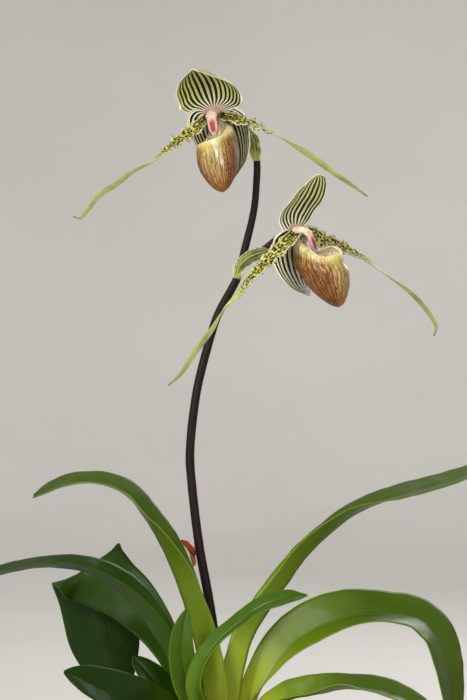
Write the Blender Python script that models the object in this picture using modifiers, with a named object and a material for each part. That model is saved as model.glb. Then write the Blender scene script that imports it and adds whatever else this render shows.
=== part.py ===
# A slipper orchid with two striped flowers on one stem, in a plain clay pot.
# Blender 4.5. Lengths below are millimetres. X is across the leaf fan, -Y faces the viewer
# and Z is up, with the origin under the middle of the pot.

import math
import random

import bmesh
import bpy
from mathutils import Matrix, Vector

MM = 0.001
CLEAR = 0.3
VIEWER = Vector((0, -1, 0))

# Clay pot
POT_HEIGHT = 130
POT_TOP_RADIUS = 72
POT_BASE_RADIUS = 50
POT_WALL = 6
POT_FLOOR = 8
RIM_HEIGHT = 24
RIM_STEP = 4
POT_STEPS = 40
DRAIN_RADIUS = 5
DRAIN_CIRCLE = 26
DRAIN_COUNT = 4
DRAIN_TURN = 0.37

# Bark in the pot
BARK_TOP = 112
BARK_SIDES = 48
BARK_RINGS = 9
CHIP_COUNT = 110
CHIP_SEED = 5
CHIP_TURN = 2.39996
CHIP_RISE = 5
CHIP_TILT = 0.3

# Crown, the stock that carries the leaves and the stem
CROWN_BOTTOM = 96
CROWN_TOP = 122.7
CROWN_CENTRE = (-2, -2)
CROWN_HALF_X = 33
CROWN_HALF_Y = 22
CROWN_SIDES = 24

# Flower stem: x, y, z and radius
STEM_PATH = [
    (-2, 9, 112, 3.3), (-2, 9, 130, 3.3), (-5, 10, 185, 3.2), (-9, 11, 213, 3.1), (-15, 12, 246, 3.0),
    (-20, 12, 288, 2.9), (-21, 12, 309, 2.9), (-17, 12, 345, 2.8), (-11, 12, 371, 2.8),
    (-3, 12, 397, 2.7), (6, 12, 414, 2.7), (10, 12, 422, 2.6), (15, 12, 441, 2.5),
    (21, 15, 467, 2.3), (23, 19, 491, 2.3), (23, 21, 501, 2.3),
]
STEM_STATIONS = 34
STEM_HOLE_RADIUS = 3.9

# Leaves: thickness, and one entry for each leaf.
# path rows are x, y, z and the roll in degrees, where 0 turns the upper face to the viewer.
LEAF_THICK = 1.4
LEAF_BASE = CROWN_TOP + 3 * CLEAR
LEAF_ACROSS = 4
LEAF_ALONG = 20
LEAVES = {
    "leaf_upper_left": dict(
        width=28, fold=(70, 74, 76, 76, 68, 44, 26, 18, 14, 12), wave=(0.6, 2.2),
        shape=[(0, 0.9), (0.12, 1.15), (0.26, 1.16), (0.4, 0.98), (0.55, 1.0), (0.7, 0.95), (0.86, 0.86),
               (0.94, 0.74), (0.98, 0.52), (1, 0.2)],
        path=[(-10, -7.5, LEAF_BASE, 90), (-10, -7.5, 132, 90), (-12, -7.5, 160, 90), (-18, -7, 190, 90),
              (-26.5, -7, 219, 90), (-38, -5, 246.5, 82), (-50, -2, 266.5, 72), (-62, 1, 281, 70),
              (-80, 5, 288, 73), (-101, 10, 287, 74), (-124, 15, 278, 72)]),
    "leaf_left": dict(
        width=32, fold=(58, 64, 56, 42, 28, 18, 14, 12), wave=(0.7, 2.4),
        path=[(-19, -1, LEAF_BASE, 90), (-19, -1, 131, 90), (-23, -4, 148, 88), (-29, -8, 163, 86),
              (-39, -10, 184, 84), (-53, -12, 206, 82), (-67, -14, 221, 82), (-85, -16, 232, 84),
              (-107, -18, 236, 86), (-132, -20, 234, 86), (-158, -20, 226, 82), (-178, -20, 212, 76)]),
    "leaf_creased": dict(
        width=54, fold=(30, 46, 44, 20, -10, -12, 0, 4, 8), wave=(0.3, 1.6), side=(0.84, 0.0, 0.54),
        across=6, along=36,
        shape=[(0, 0.24), (0.16, 0.42), (0.34, 0.54), (0.48, 0.68), (0.56, 0.85), (0.61, 1.0), (0.7, 0.9),
               (0.85, 0.86), (1, 0.3)],
        path=[(-13, 12, LEAF_BASE, 0), (-13, 12, 130, 0), (-20, 16, 146, 0), (-30, 22, 168, 0),
              (-43.5, 30, 189.5, 0), (-61, 38, 208, 0), (-76, 43, 218.5, 0), (-86.5, 45.5, 226, 0),
              (-90, 49, 228, 0), (-90, 52.5, 223.5, 0), (-86.5, 53.5, 207, 0), (-82, 53, 188, 0),
              (-76.5, 52, 166, 0), (-70, 50, 140, 0)]),
    "leaf_small_upright": dict(
        width=19, fold=(40, 30, 22, 14), wave=(0.3, 1.5),
        path=[(-12, -14, LEAF_BASE, 50), (-12, -14, 129, 44), (-17, -20, 146, 24), (-23, -24, 163, 8),
              (-25.5, -27, 183, 0), (-25, -27, 196, 0), (-22, -26, 210, 0)]),
    "leaf_lower_left": dict(
        width=34, fold=(45, 30, 18, 10), wave=(0.9, 2.2),
        path=[(-21, -13, LEAF_BASE, 90), (-21, -13, 128, 84), (-33, -27, 139, 56), (-48, -49, 150, 46),
              (-62, -67, 160, 46), (-78, -80, 170, 46), (-95, -92, 180, 46)]),
    "leaf_short_shaded": dict(
        width=24, fold=(50, 38, 26, 14), wave=(0.5, 1.6),
        path=[(-28, -2, LEAF_BASE, 90), (-28, -2, 128, 84), (-33, -1, 142, 66), (-41, 1, 154, 54),
              (-50, 2, 165, 46), (-58, 3, 175, 42)]),
    "leaf_slender_right": dict(
        width=17, fold=(50, 34, 20, 14), wave=(0.5, 2.0),
        shape=[(0, 0.5), (0.2, 0.8), (0.5, 1.0), (0.8, 0.96), (0.93, 0.7), (1, 0.1)],
        path=[(-1, -18, LEAF_BASE, 10), (-1, -18, 128, 6), (-9, -29, 144, -16), (-15, -37, 161, -40),
              (-12, -40, 175, -56), (-5, -41, 187, -62), (6, -41, 198, -64), (24, -43, 212, -62),
              (40, -43, 218, -56), (54, -41, 220, -56)]),
    "leaf_upper_right": dict(
        width=33, fold=(70, 76, 74, 58, 44, 32, 12, 8, 8, 8), wave=(0.8, 2.4),
        shape=[(0, 0.64), (0.1, 0.86), (0.22, 0.84), (0.4, 0.76), (0.55, 0.82), (0.7, 0.94), (0.86, 0.88),
               (0.95, 0.6), (1, 0.1)],
        path=[(9, 1.5, LEAF_BASE, -90), (9, 1.5, 132, -90), (11, 0.5, 150, -90), (14, 2, 170, -90),
              (20, 6, 188, -90), (31, 9, 206, -90), (43, 13, 223, -90), (56, 17, 240, -90),
              (71, 20, 254, -88), (89, 23, 267, -84), (111, 26, 276, -78), (137, 29, 283, -78),
              (163, 31, 291, -78), (188, 32, 301, -76), (210, 32, 309, -72)]),
    "leaf_arching_right": dict(
        width=40, fold=(56, 44, 36, 30, 20, 12, 8, 8), wave=(0.9, 2.2),
        path=[(18, 5, LEAF_BASE, -90), (18, 5, 130, -84), (22, 8, 146, -60), (30, 11, 161, -46),
              (44, 18, 178, -42), (62, 24, 189.5, -44), (85, 28, 197, -54), (109, 28, 199, -62),
              (128, 24, 197, -60), (140, 18, 187, -54), (146, 10, 170, -50), (149, 2, 148, -48),
              (150, -6, 124, -46)]),
    "leaf_lower_right": dict(
        width=28, fold=(52, 34, 20, 12), wave=(0.7, 2.4),
        path=[(20, -9, LEAF_BASE, -90), (20, -9, 128, -86), (28, -14, 142, -78), (42, -20, 151, -72),
              (60, -28, 156, -72), (78, -36, 161, -84), (95, -43, 161, -76), (112, -49, 157, -70),
              (127, -54, 149, -64), (140, -58, 136, -60)]),
}
LEAF_SHAPE = [(0, 0.5), (0.12, 0.66), (0.3, 0.94), (0.5, 1.0), (0.7, 0.92), (0.86, 0.66), (0.95, 0.36),
              (1, 0.06)]

# Dry bract low on the stem, seen beside the leaf in front of it
SHEATH_WIDTH = 9
SHEATH_PATH = [(-18.8, 10, 233, 75), (-19.9, 9.2, 237, 75), (-21.8, 8, 243, 70), (-27, 6, 250, 60)]

# Flowers
SEPAL_THICK = 0.9
PETAL_THICK = 0.8
LIP_THICK = 1.0
BRACT_THICK = 0.8
SEPAL_ACROSS = 8
DORSAL_ALONG = 14
SYNSEPAL_ALONG = 12
PETAL_ACROSS = 4
PETAL_ALONG = 44
PETAL_WAVE = 1.3
PETAL_WAVES = 5
PETAL_WAVE_END = 0.38
PETAL_SHAPE = [(0, 0.66), (0.05, 0.9), (0.14, 1.0), (0.23, 0.92), (0.32, 0.72), (0.42, 0.5), (0.6, 0.46),
               (0.85, 0.4), (0.95, 0.3), (1, 0.12)]
POINTED_SHAPE = [(0, 0.24), (0.05, 0.46), (0.12, 0.76), (0.22, 0.96), (0.36, 1.0), (0.55, 0.93),
                 (0.74, 0.7), (0.9, 0.36), (1, 0.06)]
ROUND_SHAPE = [(0, 0.24), (0.05, 0.46), (0.12, 0.64), (0.22, 0.78), (0.36, 0.9), (0.55, 1.0),
               (0.74, 0.9), (0.88, 0.6), (0.96, 0.32), (1, 0.1)]
SYNSEPAL_SHAPE = [(0, 0.26), (0.08, 0.66), (0.2, 0.95), (0.34, 1.0), (0.58, 0.86), (0.8, 0.55), (0.93, 0.26),
                  (1, 0.07)]
BRACT_SHAPE = [(0, 0.42), (0.3, 0.9), (0.55, 1.0), (0.8, 0.72), (1, 0.22)]

UPPER_FLOWER = dict(
    place=(-5, -18, 527), yaw=-12, nod=10, roll=-12, petal_width=10,
    sepal_width=42, sepal_cup=0.5, sepal_side=(0.98, 0, -0.13), dorsal_sweep=(0.6, 0.6),
    synsepal_sweep=(0.54, 1.2),
    dorsal=[(0, 2.4, 3.9), (0.8, 3, 9), (1.6, -1, 18), (1.6, -14, 26.5), (0.4, -32, 29)],
    synsepal=[(0, 2.4, -3.9), (1, 4, -13), (2.5, 3, -26), (4, -3, -37), (5, -11, -43.5)],
    synsepal_width=38, synsepal_cup=0.36, dorsal_shape=POINTED_SHAPE,
    petal_left=[(-8.6, -19.2, 523.8, 42), (-17, -20.5, 515.4, 44), (-25, -22, 509.8, 48), (-37, -26, 500, 62),
                (-44, -30, 493.8, 84), (-57, -32, 487, 112), (-66, -33, 480, 122), (-78, -33, 472, 124),
                (-86, -32, 462, 120), (-90, -32, 458, 112), (-94, -32, 459, 104)],
    petal_right=[(-1.6, -20.6, 524.4, -44), (7, -24.4, 521.8, -50), (14, -26.8, 519.4, -56),
                 (22, -23.2, 517.6, -60), (31, -13, 514.8, -62), (41, -5, 510.2, -72), (59, 2, 500, -104),
                 (76, 6, 488, -116), (86, 8, 481.5, -116), (95, 9, 475, -106)],
    rim_left=(-16, -16.4, -17.2, -18.4, -18.6, -18, -15.5, -9.5, -3.2),
    rim_right=(-16, -15.6, -14.8, -13.8, -13.2, -12, -9.6, -5.8, -3.2),
    ovary=[(23.2, 20.6, 502), (22, 19, 512), (15, 13, 521), (5, 1, 527), (-2.6, -10, 527.6),
           (-5.1, -18.3, 527.1)],
    bract=[(22.3, 16.1, 499, 180), (21.8, 15, 506, 180), (20.5, 12.4, 512, 180), (18, 8.8, 518, 180)],
    bract_width=11)
LOWER_FLOWER = dict(
    place=(48, -14, 451), yaw=50, nod=0, roll=-8, petal_width=10,
    sepal_width=29, sepal_cup=0.2, sepal_side=(0.93, -0.3, 0.24), dorsal_sweep=(1.1, 0.2),
    synsepal_sweep=(0.6, 0.9),
    dorsal=[(0, 2.5, 4.5), (2.6, 2.2, 11.3), (6.8, -4.1, 22), (6.9, -10.7, 30.5), (3.6, -17, 35)],
    synsepal=[(0, 2.8, -3.9), (0, 5.8, -12), (0, 5.4, -24), (0, 1, -35), (0, -6, -42)],
    synsepal_width=36, synsepal_cup=-0.04, dorsal_shape=ROUND_SHAPE,
    petal_left=[(47.1, -18.9, 449.2, 24), (40.5, -31.2, 441.6, 40), (32.5, -39, 433.6, 42), (18, -50, 419, 42),
                (10, -56, 408, 54), (2, -62, 400, 84), (-5, -68, 388, 118), (-14, -74, 376, 130),
                (-20, -77, 367, 128), (-25, -80, 359.5, 120), (-32, -82, 353, 108)],
    petal_right=[(51.5, -11.8, 450.2, -12), (58, -5.6, 449.2, -24), (66, 2, 445.5, -36), (76, 12, 443, -46),
                 (86, 20, 439, -62), (95, 28, 435, -88), (112, 40, 423, -112), (127, 50, 413, -120),
                 (137, 56, 403, -120), (145, 60, 391, -116), (144, 62, 384, -108)],
    rim_left=(-16, -16.2, -16.6, -16, -12.5, -9, -5.5, -4, -3.2),
    rim_right=(-16, -15, -13.4, -12, -13, -15, -14, -8, -3.2),
    ovary=[(16.9, 10.4, 433.4), (23.6, 7.8, 437.6), (31, 3.5, 443.4), (38.5, -4.5, 448.6), (44, -10.6, 450.8),
           (48.8, -14.7, 451)],
    bract=[(9.6, 8.0, 421.5, 180), (11.4, 6.6, 428.5, 180), (16.4, 5.4, 434, 180), (23, 2.8, 437.2, 180),
           (30, -2, 438.6, 180)],
    bract_width=11.5)

# Pouch: the share of the width by which its side lobes turn in, and level rings below the rim as
# centre y and z, half width and half depth. A flower's rim_left and rim_right are the rim's heights
# from the front round to the back.
RIM_TURN_IN = 0.36
RIM_TURN_RISE = 1.2
LIP_RINGS = [
    (-16.0, -21.5, 13.1, 17.5), (-19.2, -26.5, 13.2, 17.0), (-21.4, -32.0, 12.8, 15.2),
    (-23.0, -37.0, 11.4, 13.0), (-24.7, -41.5, 9.2, 10.2), (-26.3, -45.2, 6.6, 7.2),
    (-27.7, -48.2, 3.8, 3.9),
]
LIP_SIDES = 20
LIP_TOE = (0, -28.6, -50)

# Column and its shield: centre y and z, half width, half depth and the ring's tilt in degrees
COLUMN_RINGS = [
    (-1.4, -0.4, 3.1, 2.9, 90), (-4.5, 0.0, 3.0, 2.7, 84), (-7.6, -0.7, 3.0, 2.4, 66),
    (-10.0, -3.0, 3.0, 1.9, 42), (-11.6, -6.2, 3.3, 1.5, 26), (-12.8, -9.6, 3.2, 1.2, 18),
    (-13.4, -12.4, 2.3, 0.9, 14), (-13.9, -14.6, 1.1, 0.6, 12),
]
COLUMN_SIDES = 10
OVARY_SIDES = 12
OVARY_SHAPE = [(0, 1.5), (0.12, 1.8), (0.45, 2.0), (0.75, 2.1), (0.9, 2.7), (1, 3.3)]
OVARY_STATIONS = 12

COLOURS = {
    "clay": ((0.42, 0.17, 0.09), 0.85),
    "bark": ((0.13, 0.06, 0.03), 0.9),
    "crown": ((0.24, 0.22, 0.08), 0.6),
    "leaf": ((0.08, 0.2, 0.03), 0.35),
    "stem": ((0.05, 0.018, 0.02), 0.6),
    "dry": ((0.4, 0.1, 0.04), 0.7),
    "bract": ((0.3, 0.42, 0.16), 0.5),
    "sepal": ((0.55, 0.56, 0.2), 0.5),
    "petal": ((0.5, 0.56, 0.12), 0.5),
    "lip": ((0.5, 0.2, 0.05), 0.35),
    "column": ((0.72, 0.42, 0.38), 0.5),
}


def clear_scene():
    for item in list(bpy.data.objects):
        bpy.data.objects.remove(item, do_unlink=True)


def make_materials():
    made = {}
    for name, (colour, roughness) in COLOURS.items():
        material = bpy.data.materials.new(name)
        material.use_nodes = True
        shader = material.node_tree.nodes["Principled BSDF"]
        shader.inputs["Base Color"].default_value = (*colour, 1)
        shader.inputs["Roughness"].default_value = roughness
        made[name] = material
    return made


def add_object(name, mesh, material, collection):
    item = bpy.data.objects.new(name, mesh)
    collection.objects.link(item)
    if material:
        mesh.materials.append(material)
    return item


def mesh_from(bm, name):
    bmesh.ops.recalc_face_normals(bm, faces=bm.faces)
    mesh = bpy.data.meshes.new(name)
    bm.to_mesh(mesh)
    bm.free()
    return mesh


def cut(item, tool):
    modifier = item.modifiers.new("cut", "BOOLEAN")
    modifier.operation = "DIFFERENCE"
    modifier.solver = "EXACT"
    modifier.object = tool


def add_cutter(name, mesh, cutters):
    tool = add_object(name, mesh, None, cutters)
    tool.display_type = "WIRE"
    tool.hide_render = True
    return tool


# Smooth curve through rows of any number of values, spaced by the distance between rows
def knots_of(rows, size):
    knots = [0.0]
    for before, after in zip(rows, rows[1:]):
        step = math.dist(before[:size], after[:size])
        knots.append(knots[-1] + step)
    return knots


def curve_at(rows, knots, place):
    last = len(rows) - 1
    i = 0
    while i < last - 1 and place > knots[i + 1]:
        i += 1
    span = knots[i + 1] - knots[i]
    u = (place - knots[i]) / span
    values = []
    for k in range(len(rows[0])):
        slopes = []
        for j in (i, i + 1):
            low = max(j - 1, 0)
            high = min(j + 1, last)
            slopes.append((rows[high][k] - rows[low][k]) / (knots[high] - knots[low]) * span)
        start = rows[i][k] * (2 * u**3 - 3 * u**2 + 1) + slopes[0] * (u**3 - 2 * u**2 + u)
        end = rows[i + 1][k] * (3 * u**2 - 2 * u**3) + slopes[1] * (u**3 - u**2)
        values.append(start + end)
    return values


def shape_at(shape, t):
    return curve_at(shape, [row[0] for row in shape], t)[1]


def spread(values, t):
    place = t * (len(values) - 1)
    i = min(int(place), len(values) - 2)
    return values[i] + (values[i + 1] - values[i]) * (place - i)


# Frame of a ribbon at one point: its middle, the way across and the way out of its upper face
def ribbon_frame(path, knots, t, side):
    total = knots[-1]
    step = total * 0.004
    here = curve_at(path, knots, t * total)
    before = Vector(curve_at(path, knots, max(t * total - step, 0))[:3])
    after = Vector(curve_at(path, knots, min(t * total + step, total))[:3])
    tangent = (after - before).normalized()
    across = (Vector(side) - tangent * tangent.dot(Vector(side))) if side else tangent.cross(VIEWER)
    across.normalize()
    roll = math.radians(here[3]) if len(here) > 3 else 0.0
    across = Matrix.Rotation(roll, 3, tangent) @ across
    return Vector(here[:3]), across, across.cross(tangent)


# The middle surface of a blade along a path. The fold lifts both halves from the midrib, the cup
# bends the margins forward, the sweep draws each margin back towards the base by its own share, and
# the wave lifts the two margins in turn.
def blade(name, path, width, shape, thick, across_count, along_count, fold=(0, 0), cup=0.0,
          cup_start=0.01, sweep=(0, 0), wave=(0, 0), wave_end=1.0, side=None):
    knots = knots_of(path, 3)
    bm = bmesh.new()
    bmesh.ops.create_grid(bm, x_segments=across_count, y_segments=along_count, size=1)
    for vertex in bm.verts:
        s = vertex.co.x
        t = (vertex.co.y + 1) / 2
        middle, across, up = ribbon_frame(path, knots, t, side)
        half = width / 2 * shape_at(shape, t)
        angle = math.radians(spread(fold, t))
        ramp = min(t / cup_start, 1)
        rise = half * abs(s) * math.sin(angle) + cup * ramp * half * s * s
        if t < wave_end:
            fade = math.sin(math.pi * t / wave_end)
            turn = 2 * math.pi * wave[1] * t / wave_end + (0.9 if s > 0 else 2.6)
            rise += wave[0] * fade * s * s * math.sin(turn)
        back = sweep[1 if s > 0 else 0] * half * s * s * (1 - t) ** 2
        place = middle + across * (half * s * math.cos(angle)) + up * rise - up.cross(across) * back
        vertex.co = place * MM
    bmesh.ops.triangulate(bm, faces=bm.faces)
    mesh = bpy.data.meshes.new(name)
    bm.to_mesh(mesh)
    bm.free()
    return mesh, thick


def add_blade(made, material, collection):
    mesh, thick = made
    item = add_object(mesh.name, mesh, material, collection)
    solid = item.modifiers.new("thickness", "SOLIDIFY")
    solid.thickness = thick * MM
    solid.offset = 0
    return item


# Rings joined by quads, with the first and last ring closed or left open
def loft(name, rings, close_start=True, end_point=None):
    bm = bmesh.new()
    rows = [[bm.verts.new(Vector(point) * MM) for point in ring] for ring in rings]
    count = len(rows[0])
    for low, high in zip(rows, rows[1:]):
        for i in range(count):
            j = (i + 1) % count
            bm.faces.new((low[i], low[j], high[j], high[i]))
    if close_start:
        bm.faces.new(rows[0])
    if end_point:
        tip = bm.verts.new(Vector(end_point) * MM)
        for i in range(count):
            bm.faces.new((rows[-1][i], rows[-1][(i + 1) % count], tip))
    else:
        bm.faces.new(rows[-1])
    return mesh_from(bm, name)


def make_pot(materials, parts, cutters):
    slope = (POT_TOP_RADIUS - RIM_STEP - POT_BASE_RADIUS) / (POT_HEIGHT - RIM_HEIGHT)
    rim_low = POT_HEIGHT - RIM_HEIGHT
    inner_floor = POT_BASE_RADIUS - POT_WALL + slope * POT_FLOOR
    inner_top = POT_TOP_RADIUS - POT_WALL - 2
    profile = [
        (0, POT_FLOOR), (inner_floor, POT_FLOOR), (inner_top, rim_low), (inner_top + 1, POT_HEIGHT - 2),
        (inner_top + 2.5, POT_HEIGHT), (POT_TOP_RADIUS - 2, POT_HEIGHT), (POT_TOP_RADIUS, POT_HEIGHT - 2),
        (POT_TOP_RADIUS - 1, rim_low), (POT_TOP_RADIUS - RIM_STEP, rim_low), (POT_BASE_RADIUS, 2),
        (POT_BASE_RADIUS - 2, 0), (0, 0),
    ]
    mesh = bpy.data.meshes.new("pot")
    points = [(x * MM, 0, z * MM) for x, z in profile]
    mesh.from_pydata(points, [(i, i + 1) for i in range(len(points) - 1)], [])
    pot = add_object("pot", mesh, materials["clay"], parts)
    screw = pot.modifiers.new("turn", "SCREW")
    screw.steps = POT_STEPS
    screw.render_steps = POT_STEPS
    screw.use_merge_vertices = True
    screw.merge_threshold = 0.00001
    for i in range(DRAIN_COUNT):
        angle = 2 * math.pi * (i + DRAIN_TURN) / DRAIN_COUNT
        bm = bmesh.new()
        bmesh.ops.create_cone(bm, cap_ends=True, segments=12, radius1=DRAIN_RADIUS * MM,
                              radius2=DRAIN_RADIUS * MM, depth=4 * POT_FLOOR * MM)
        tool = add_cutter(f"drain_{i + 1}", mesh_from(bm, "drain"), cutters)
        tool.location = (DRAIN_CIRCLE * math.cos(angle) * MM, DRAIN_CIRCLE * math.sin(angle) * MM, 0)
        cut(pot, tool)
    return inner_floor, inner_top


def ellipse(z, half_x, half_y, sides=CROWN_SIDES):
    ring = []
    for i in range(sides):
        angle = 2 * math.pi * i / sides
        x = CROWN_CENTRE[0] + half_x * math.cos(angle)
        y = CROWN_CENTRE[1] + half_y * math.sin(angle)
        ring.append((x, y, z))
    return ring


def circle(z, radius, sides):
    return [(radius * math.cos(2 * math.pi * i / sides), radius * math.sin(2 * math.pi * i / sides), z)
            for i in range(sides)]


# Bark chips as tilted facets, each around its own middle
def scatter_chips():
    draw = random.Random(CHIP_SEED)
    chips = []
    for i in range(CHIP_COUNT):
        reach = POT_TOP_RADIUS * math.sqrt((i + 0.5) / CHIP_COUNT)
        angle = i * CHIP_TURN
        chips.append((reach * math.cos(angle), reach * math.sin(angle), draw.uniform(0, CHIP_RISE),
                      draw.uniform(-CHIP_TILT, CHIP_TILT), draw.uniform(-CHIP_TILT, CHIP_TILT)))
    return chips


def chip_height(x, y, chips):
    nearest = min(chips, key=lambda chip: math.dist((x, y), chip[:2]))
    return nearest[2] + nearest[3] * (x - nearest[0]) + nearest[4] * (y - nearest[1])


# One loft: the floor, the wall, the chips on top and down into the hole for the crown
def make_bark(materials, parts, inner_floor, inner_top):
    inset = math.cos(math.pi / POT_STEPS)
    low = POT_FLOOR + CLEAR
    rim_low = POT_HEIGHT - RIM_HEIGHT
    slope = (inner_top - inner_floor) / (rim_low - POT_FLOOR)
    wall_low = inset * (inner_floor + slope * CLEAR) - 2 * CLEAR
    wall_high = inset * inner_top - 2 * CLEAR
    rings = [circle(low, wall_low, BARK_SIDES), circle(rim_low, wall_high, BARK_SIDES)]
    spare = 2 * CLEAR
    outer = circle(BARK_TOP, wall_high, BARK_SIDES)
    inner = ellipse(BARK_TOP, CROWN_HALF_X + spare, CROWN_HALF_Y + spare, BARK_SIDES)
    chips = scatter_chips()
    for k in range(BARK_RINGS + 1):
        ring = []
        for a, b in zip(outer, inner):
            x = a[0] + (b[0] - a[0]) * k / BARK_RINGS
            y = a[1] + (b[1] - a[1]) * k / BARK_RINGS
            ring.append((x, y, BARK_TOP + chip_height(x, y, chips)))
        rings.append(ring)
    rings.append(ellipse(CROWN_BOTTOM - CLEAR, CROWN_HALF_X - 4 + spare, CROWN_HALF_Y - 3 + spare,
                         BARK_SIDES))
    add_object("bark", loft("bark", rings), materials["bark"], parts)


def make_crown(materials, parts, cutters):
    rings = [ellipse(CROWN_BOTTOM, CROWN_HALF_X - 4, CROWN_HALF_Y - 3),
             ellipse(CROWN_BOTTOM + 12, CROWN_HALF_X - 2.6, CROWN_HALF_Y - 2),
             ellipse(CROWN_TOP - 4, CROWN_HALF_X - 2, CROWN_HALF_Y - 1.5),
             ellipse(CROWN_TOP, CROWN_HALF_X - 4, CROWN_HALF_Y - 3.5)]
    crown = add_object("crown", loft("crown", rings), materials["crown"], parts)
    bm = bmesh.new()
    start = STEM_PATH[0]
    depth = 60
    bmesh.ops.create_cone(bm, cap_ends=True, segments=12, radius1=STEM_HOLE_RADIUS * MM,
                          radius2=STEM_HOLE_RADIUS * MM, depth=depth * MM)
    tool = add_cutter("stem_hole", mesh_from(bm, "stem_hole"), cutters)
    tool.location = (start[0] * MM, start[1] * MM, (start[2] - CLEAR + depth / 2) * MM)
    cut(crown, tool)


def make_stem(materials, parts):
    knots = knots_of(STEM_PATH, 3)
    curve = bpy.data.curves.new("stem", "CURVE")
    curve.dimensions = "3D"
    curve.bevel_depth = MM
    curve.bevel_resolution = 3
    curve.use_fill_caps = True
    spline = curve.splines.new("POLY")
    spline.points.add(STEM_STATIONS - 1)
    for i, point in enumerate(spline.points):
        x, y, z, radius = curve_at(STEM_PATH, knots, knots[-1] * i / (STEM_STATIONS - 1))
        point.co = (x * MM, y * MM, z * MM, 1)
        point.radius = radius
    add_object("stem", curve, materials["stem"], parts)


def make_leaves(materials, parts):
    for name, leaf in LEAVES.items():
        made = blade(name, leaf["path"], leaf["width"], leaf.get("shape", LEAF_SHAPE), LEAF_THICK,
                     leaf.get("across", LEAF_ACROSS), leaf.get("along", LEAF_ALONG), fold=leaf["fold"],
                     wave=leaf["wave"], side=leaf.get("side"))
        add_blade(made, materials["leaf"], parts)


# Level ring in a flower's own frame, where -Y is forward and Z is up
def lip_ring(y, z, half_x, half_y):
    ring = []
    for i in range(LIP_SIDES):
        angle = 2 * math.pi * i / LIP_SIDES
        ring.append(Vector((half_x * math.sin(angle), y - half_y * math.cos(angle), z)))
    return ring


def make_lip(name, flower):
    y, z, half_x, half_y = LIP_RINGS[0]
    fold = lip_ring(y, z, half_x - 0.9, half_y - 1.4)
    rim = lip_ring(y, z, half_x - 0.9, half_y - 1.4)
    wall = lip_ring(y, z, half_x - 0.2, half_y - 0.3)
    for i in range(LIP_SIDES):
        turn = 2 * i / LIP_SIDES
        levels = flower["rim_right"] if turn <= 1 else flower["rim_left"]
        level = spread(levels, min(turn, 2 - turn))
        lobe = math.sin(math.pi * turn) ** 2
        rim[i].z = level
        wall[i].z = (level + z) / 2
        fold[i].x *= 1 - RIM_TURN_IN * lobe
        fold[i].z = level + RIM_TURN_RISE * lobe - LIP_THICK * (1 - lobe)
        fold[i].y += (y - fold[i].y) * (0.1 + 0.1 * lobe)
    return loft(name, [fold, rim, wall] + [lip_ring(*row) for row in LIP_RINGS], close_start=False,
                end_point=LIP_TOE)


def make_column(name):
    rings = []
    for y, z, half_x, half_y, tilt in COLUMN_RINGS:
        lean = math.radians(tilt)
        ring = []
        for i in range(COLUMN_SIDES):
            angle = 2 * math.pi * i / COLUMN_SIDES
            out = half_y * math.cos(angle)
            ring.append((half_x * math.sin(angle), y - out * math.cos(lean), z + out * math.sin(lean)))
        rings.append(ring)
    return loft(name, rings)


def make_ovary(name, path):
    knots = knots_of(path, 3)
    rings = []
    for i in range(OVARY_STATIONS):
        t = i / (OVARY_STATIONS - 1)
        middle, across, up = ribbon_frame(path, knots, t, (0, 0, 1))
        radius = shape_at(OVARY_SHAPE, t)
        ring = []
        for k in range(OVARY_SIDES):
            angle = 2 * math.pi * k / OVARY_SIDES
            reach = radius * (1.0 if k % 2 else 0.86)
            ring.append(middle + across * (reach * math.cos(angle)) + up * (reach * math.sin(angle)))
        rings.append(ring)
    return loft(name, rings)


def make_flower(prefix, flower, materials, parts):
    place = Vector(flower["place"]) * MM
    turn = (Matrix.Rotation(math.radians(flower["yaw"]), 3, "Z")
            @ Matrix.Rotation(math.radians(flower["nod"]), 3, "X")
            @ Matrix.Rotation(math.radians(flower["roll"]), 3, "Y"))

    def set_down(item):
        item.location = place
        item.rotation_euler = turn.to_euler()

    dorsal = blade(f"{prefix}_dorsal_sepal", flower["dorsal"], flower["sepal_width"],
                   flower["dorsal_shape"], SEPAL_THICK, SEPAL_ACROSS, DORSAL_ALONG,
                   cup=flower["sepal_cup"], cup_start=0.25, sweep=flower["dorsal_sweep"],
                   wave=(0.5, 1.5), side=flower["sepal_side"])
    set_down(add_blade(dorsal, materials["sepal"], parts))
    synsepal = blade(f"{prefix}_synsepal", flower["synsepal"], flower["synsepal_width"], SYNSEPAL_SHAPE,
                     SEPAL_THICK, SEPAL_ACROSS, SYNSEPAL_ALONG, cup=flower["synsepal_cup"],
                     cup_start=0.5, sweep=flower["synsepal_sweep"], wave=(0.5, 1.5), side=(-1, 0, 0))
    set_down(add_blade(synsepal, materials["sepal"], parts))
    for side in ("left", "right"):
        petal = blade(f"{prefix}_petal_{side}", flower[f"petal_{side}"], flower["petal_width"],
                      PETAL_SHAPE, PETAL_THICK, PETAL_ACROSS, PETAL_ALONG, wave=(PETAL_WAVE, PETAL_WAVES),
                      wave_end=PETAL_WAVE_END, fold=(12, 8, 4, 2))
        add_blade(petal, materials["petal"], parts)
    lip = add_object(f"{prefix}_lip", make_lip(f"{prefix}_lip", flower), materials["lip"], parts)
    shell = lip.modifiers.new("thickness", "SOLIDIFY")
    shell.thickness = LIP_THICK * MM
    shell.offset = -1
    set_down(lip)
    column = add_object(f"{prefix}_column", make_column(f"{prefix}_column"), materials["column"], parts)
    set_down(column)
    add_object(f"{prefix}_ovary", make_ovary(f"{prefix}_ovary", flower["ovary"]), materials["stem"], parts)
    bract = blade(f"{prefix}_bract", flower["bract"], flower["bract_width"], BRACT_SHAPE, BRACT_THICK,
                  4, 8, fold=(20, 42, 44, 18), wave=(0.9, 1.6))
    add_blade(bract, materials["bract"], parts)


def make_sheath(materials, parts):
    sheath = blade("sheath_bract", SHEATH_PATH, SHEATH_WIDTH, BRACT_SHAPE, BRACT_THICK, 4, 6,
                   fold=(30, 30, 20))
    add_blade(sheath, materials["dry"], parts)


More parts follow.
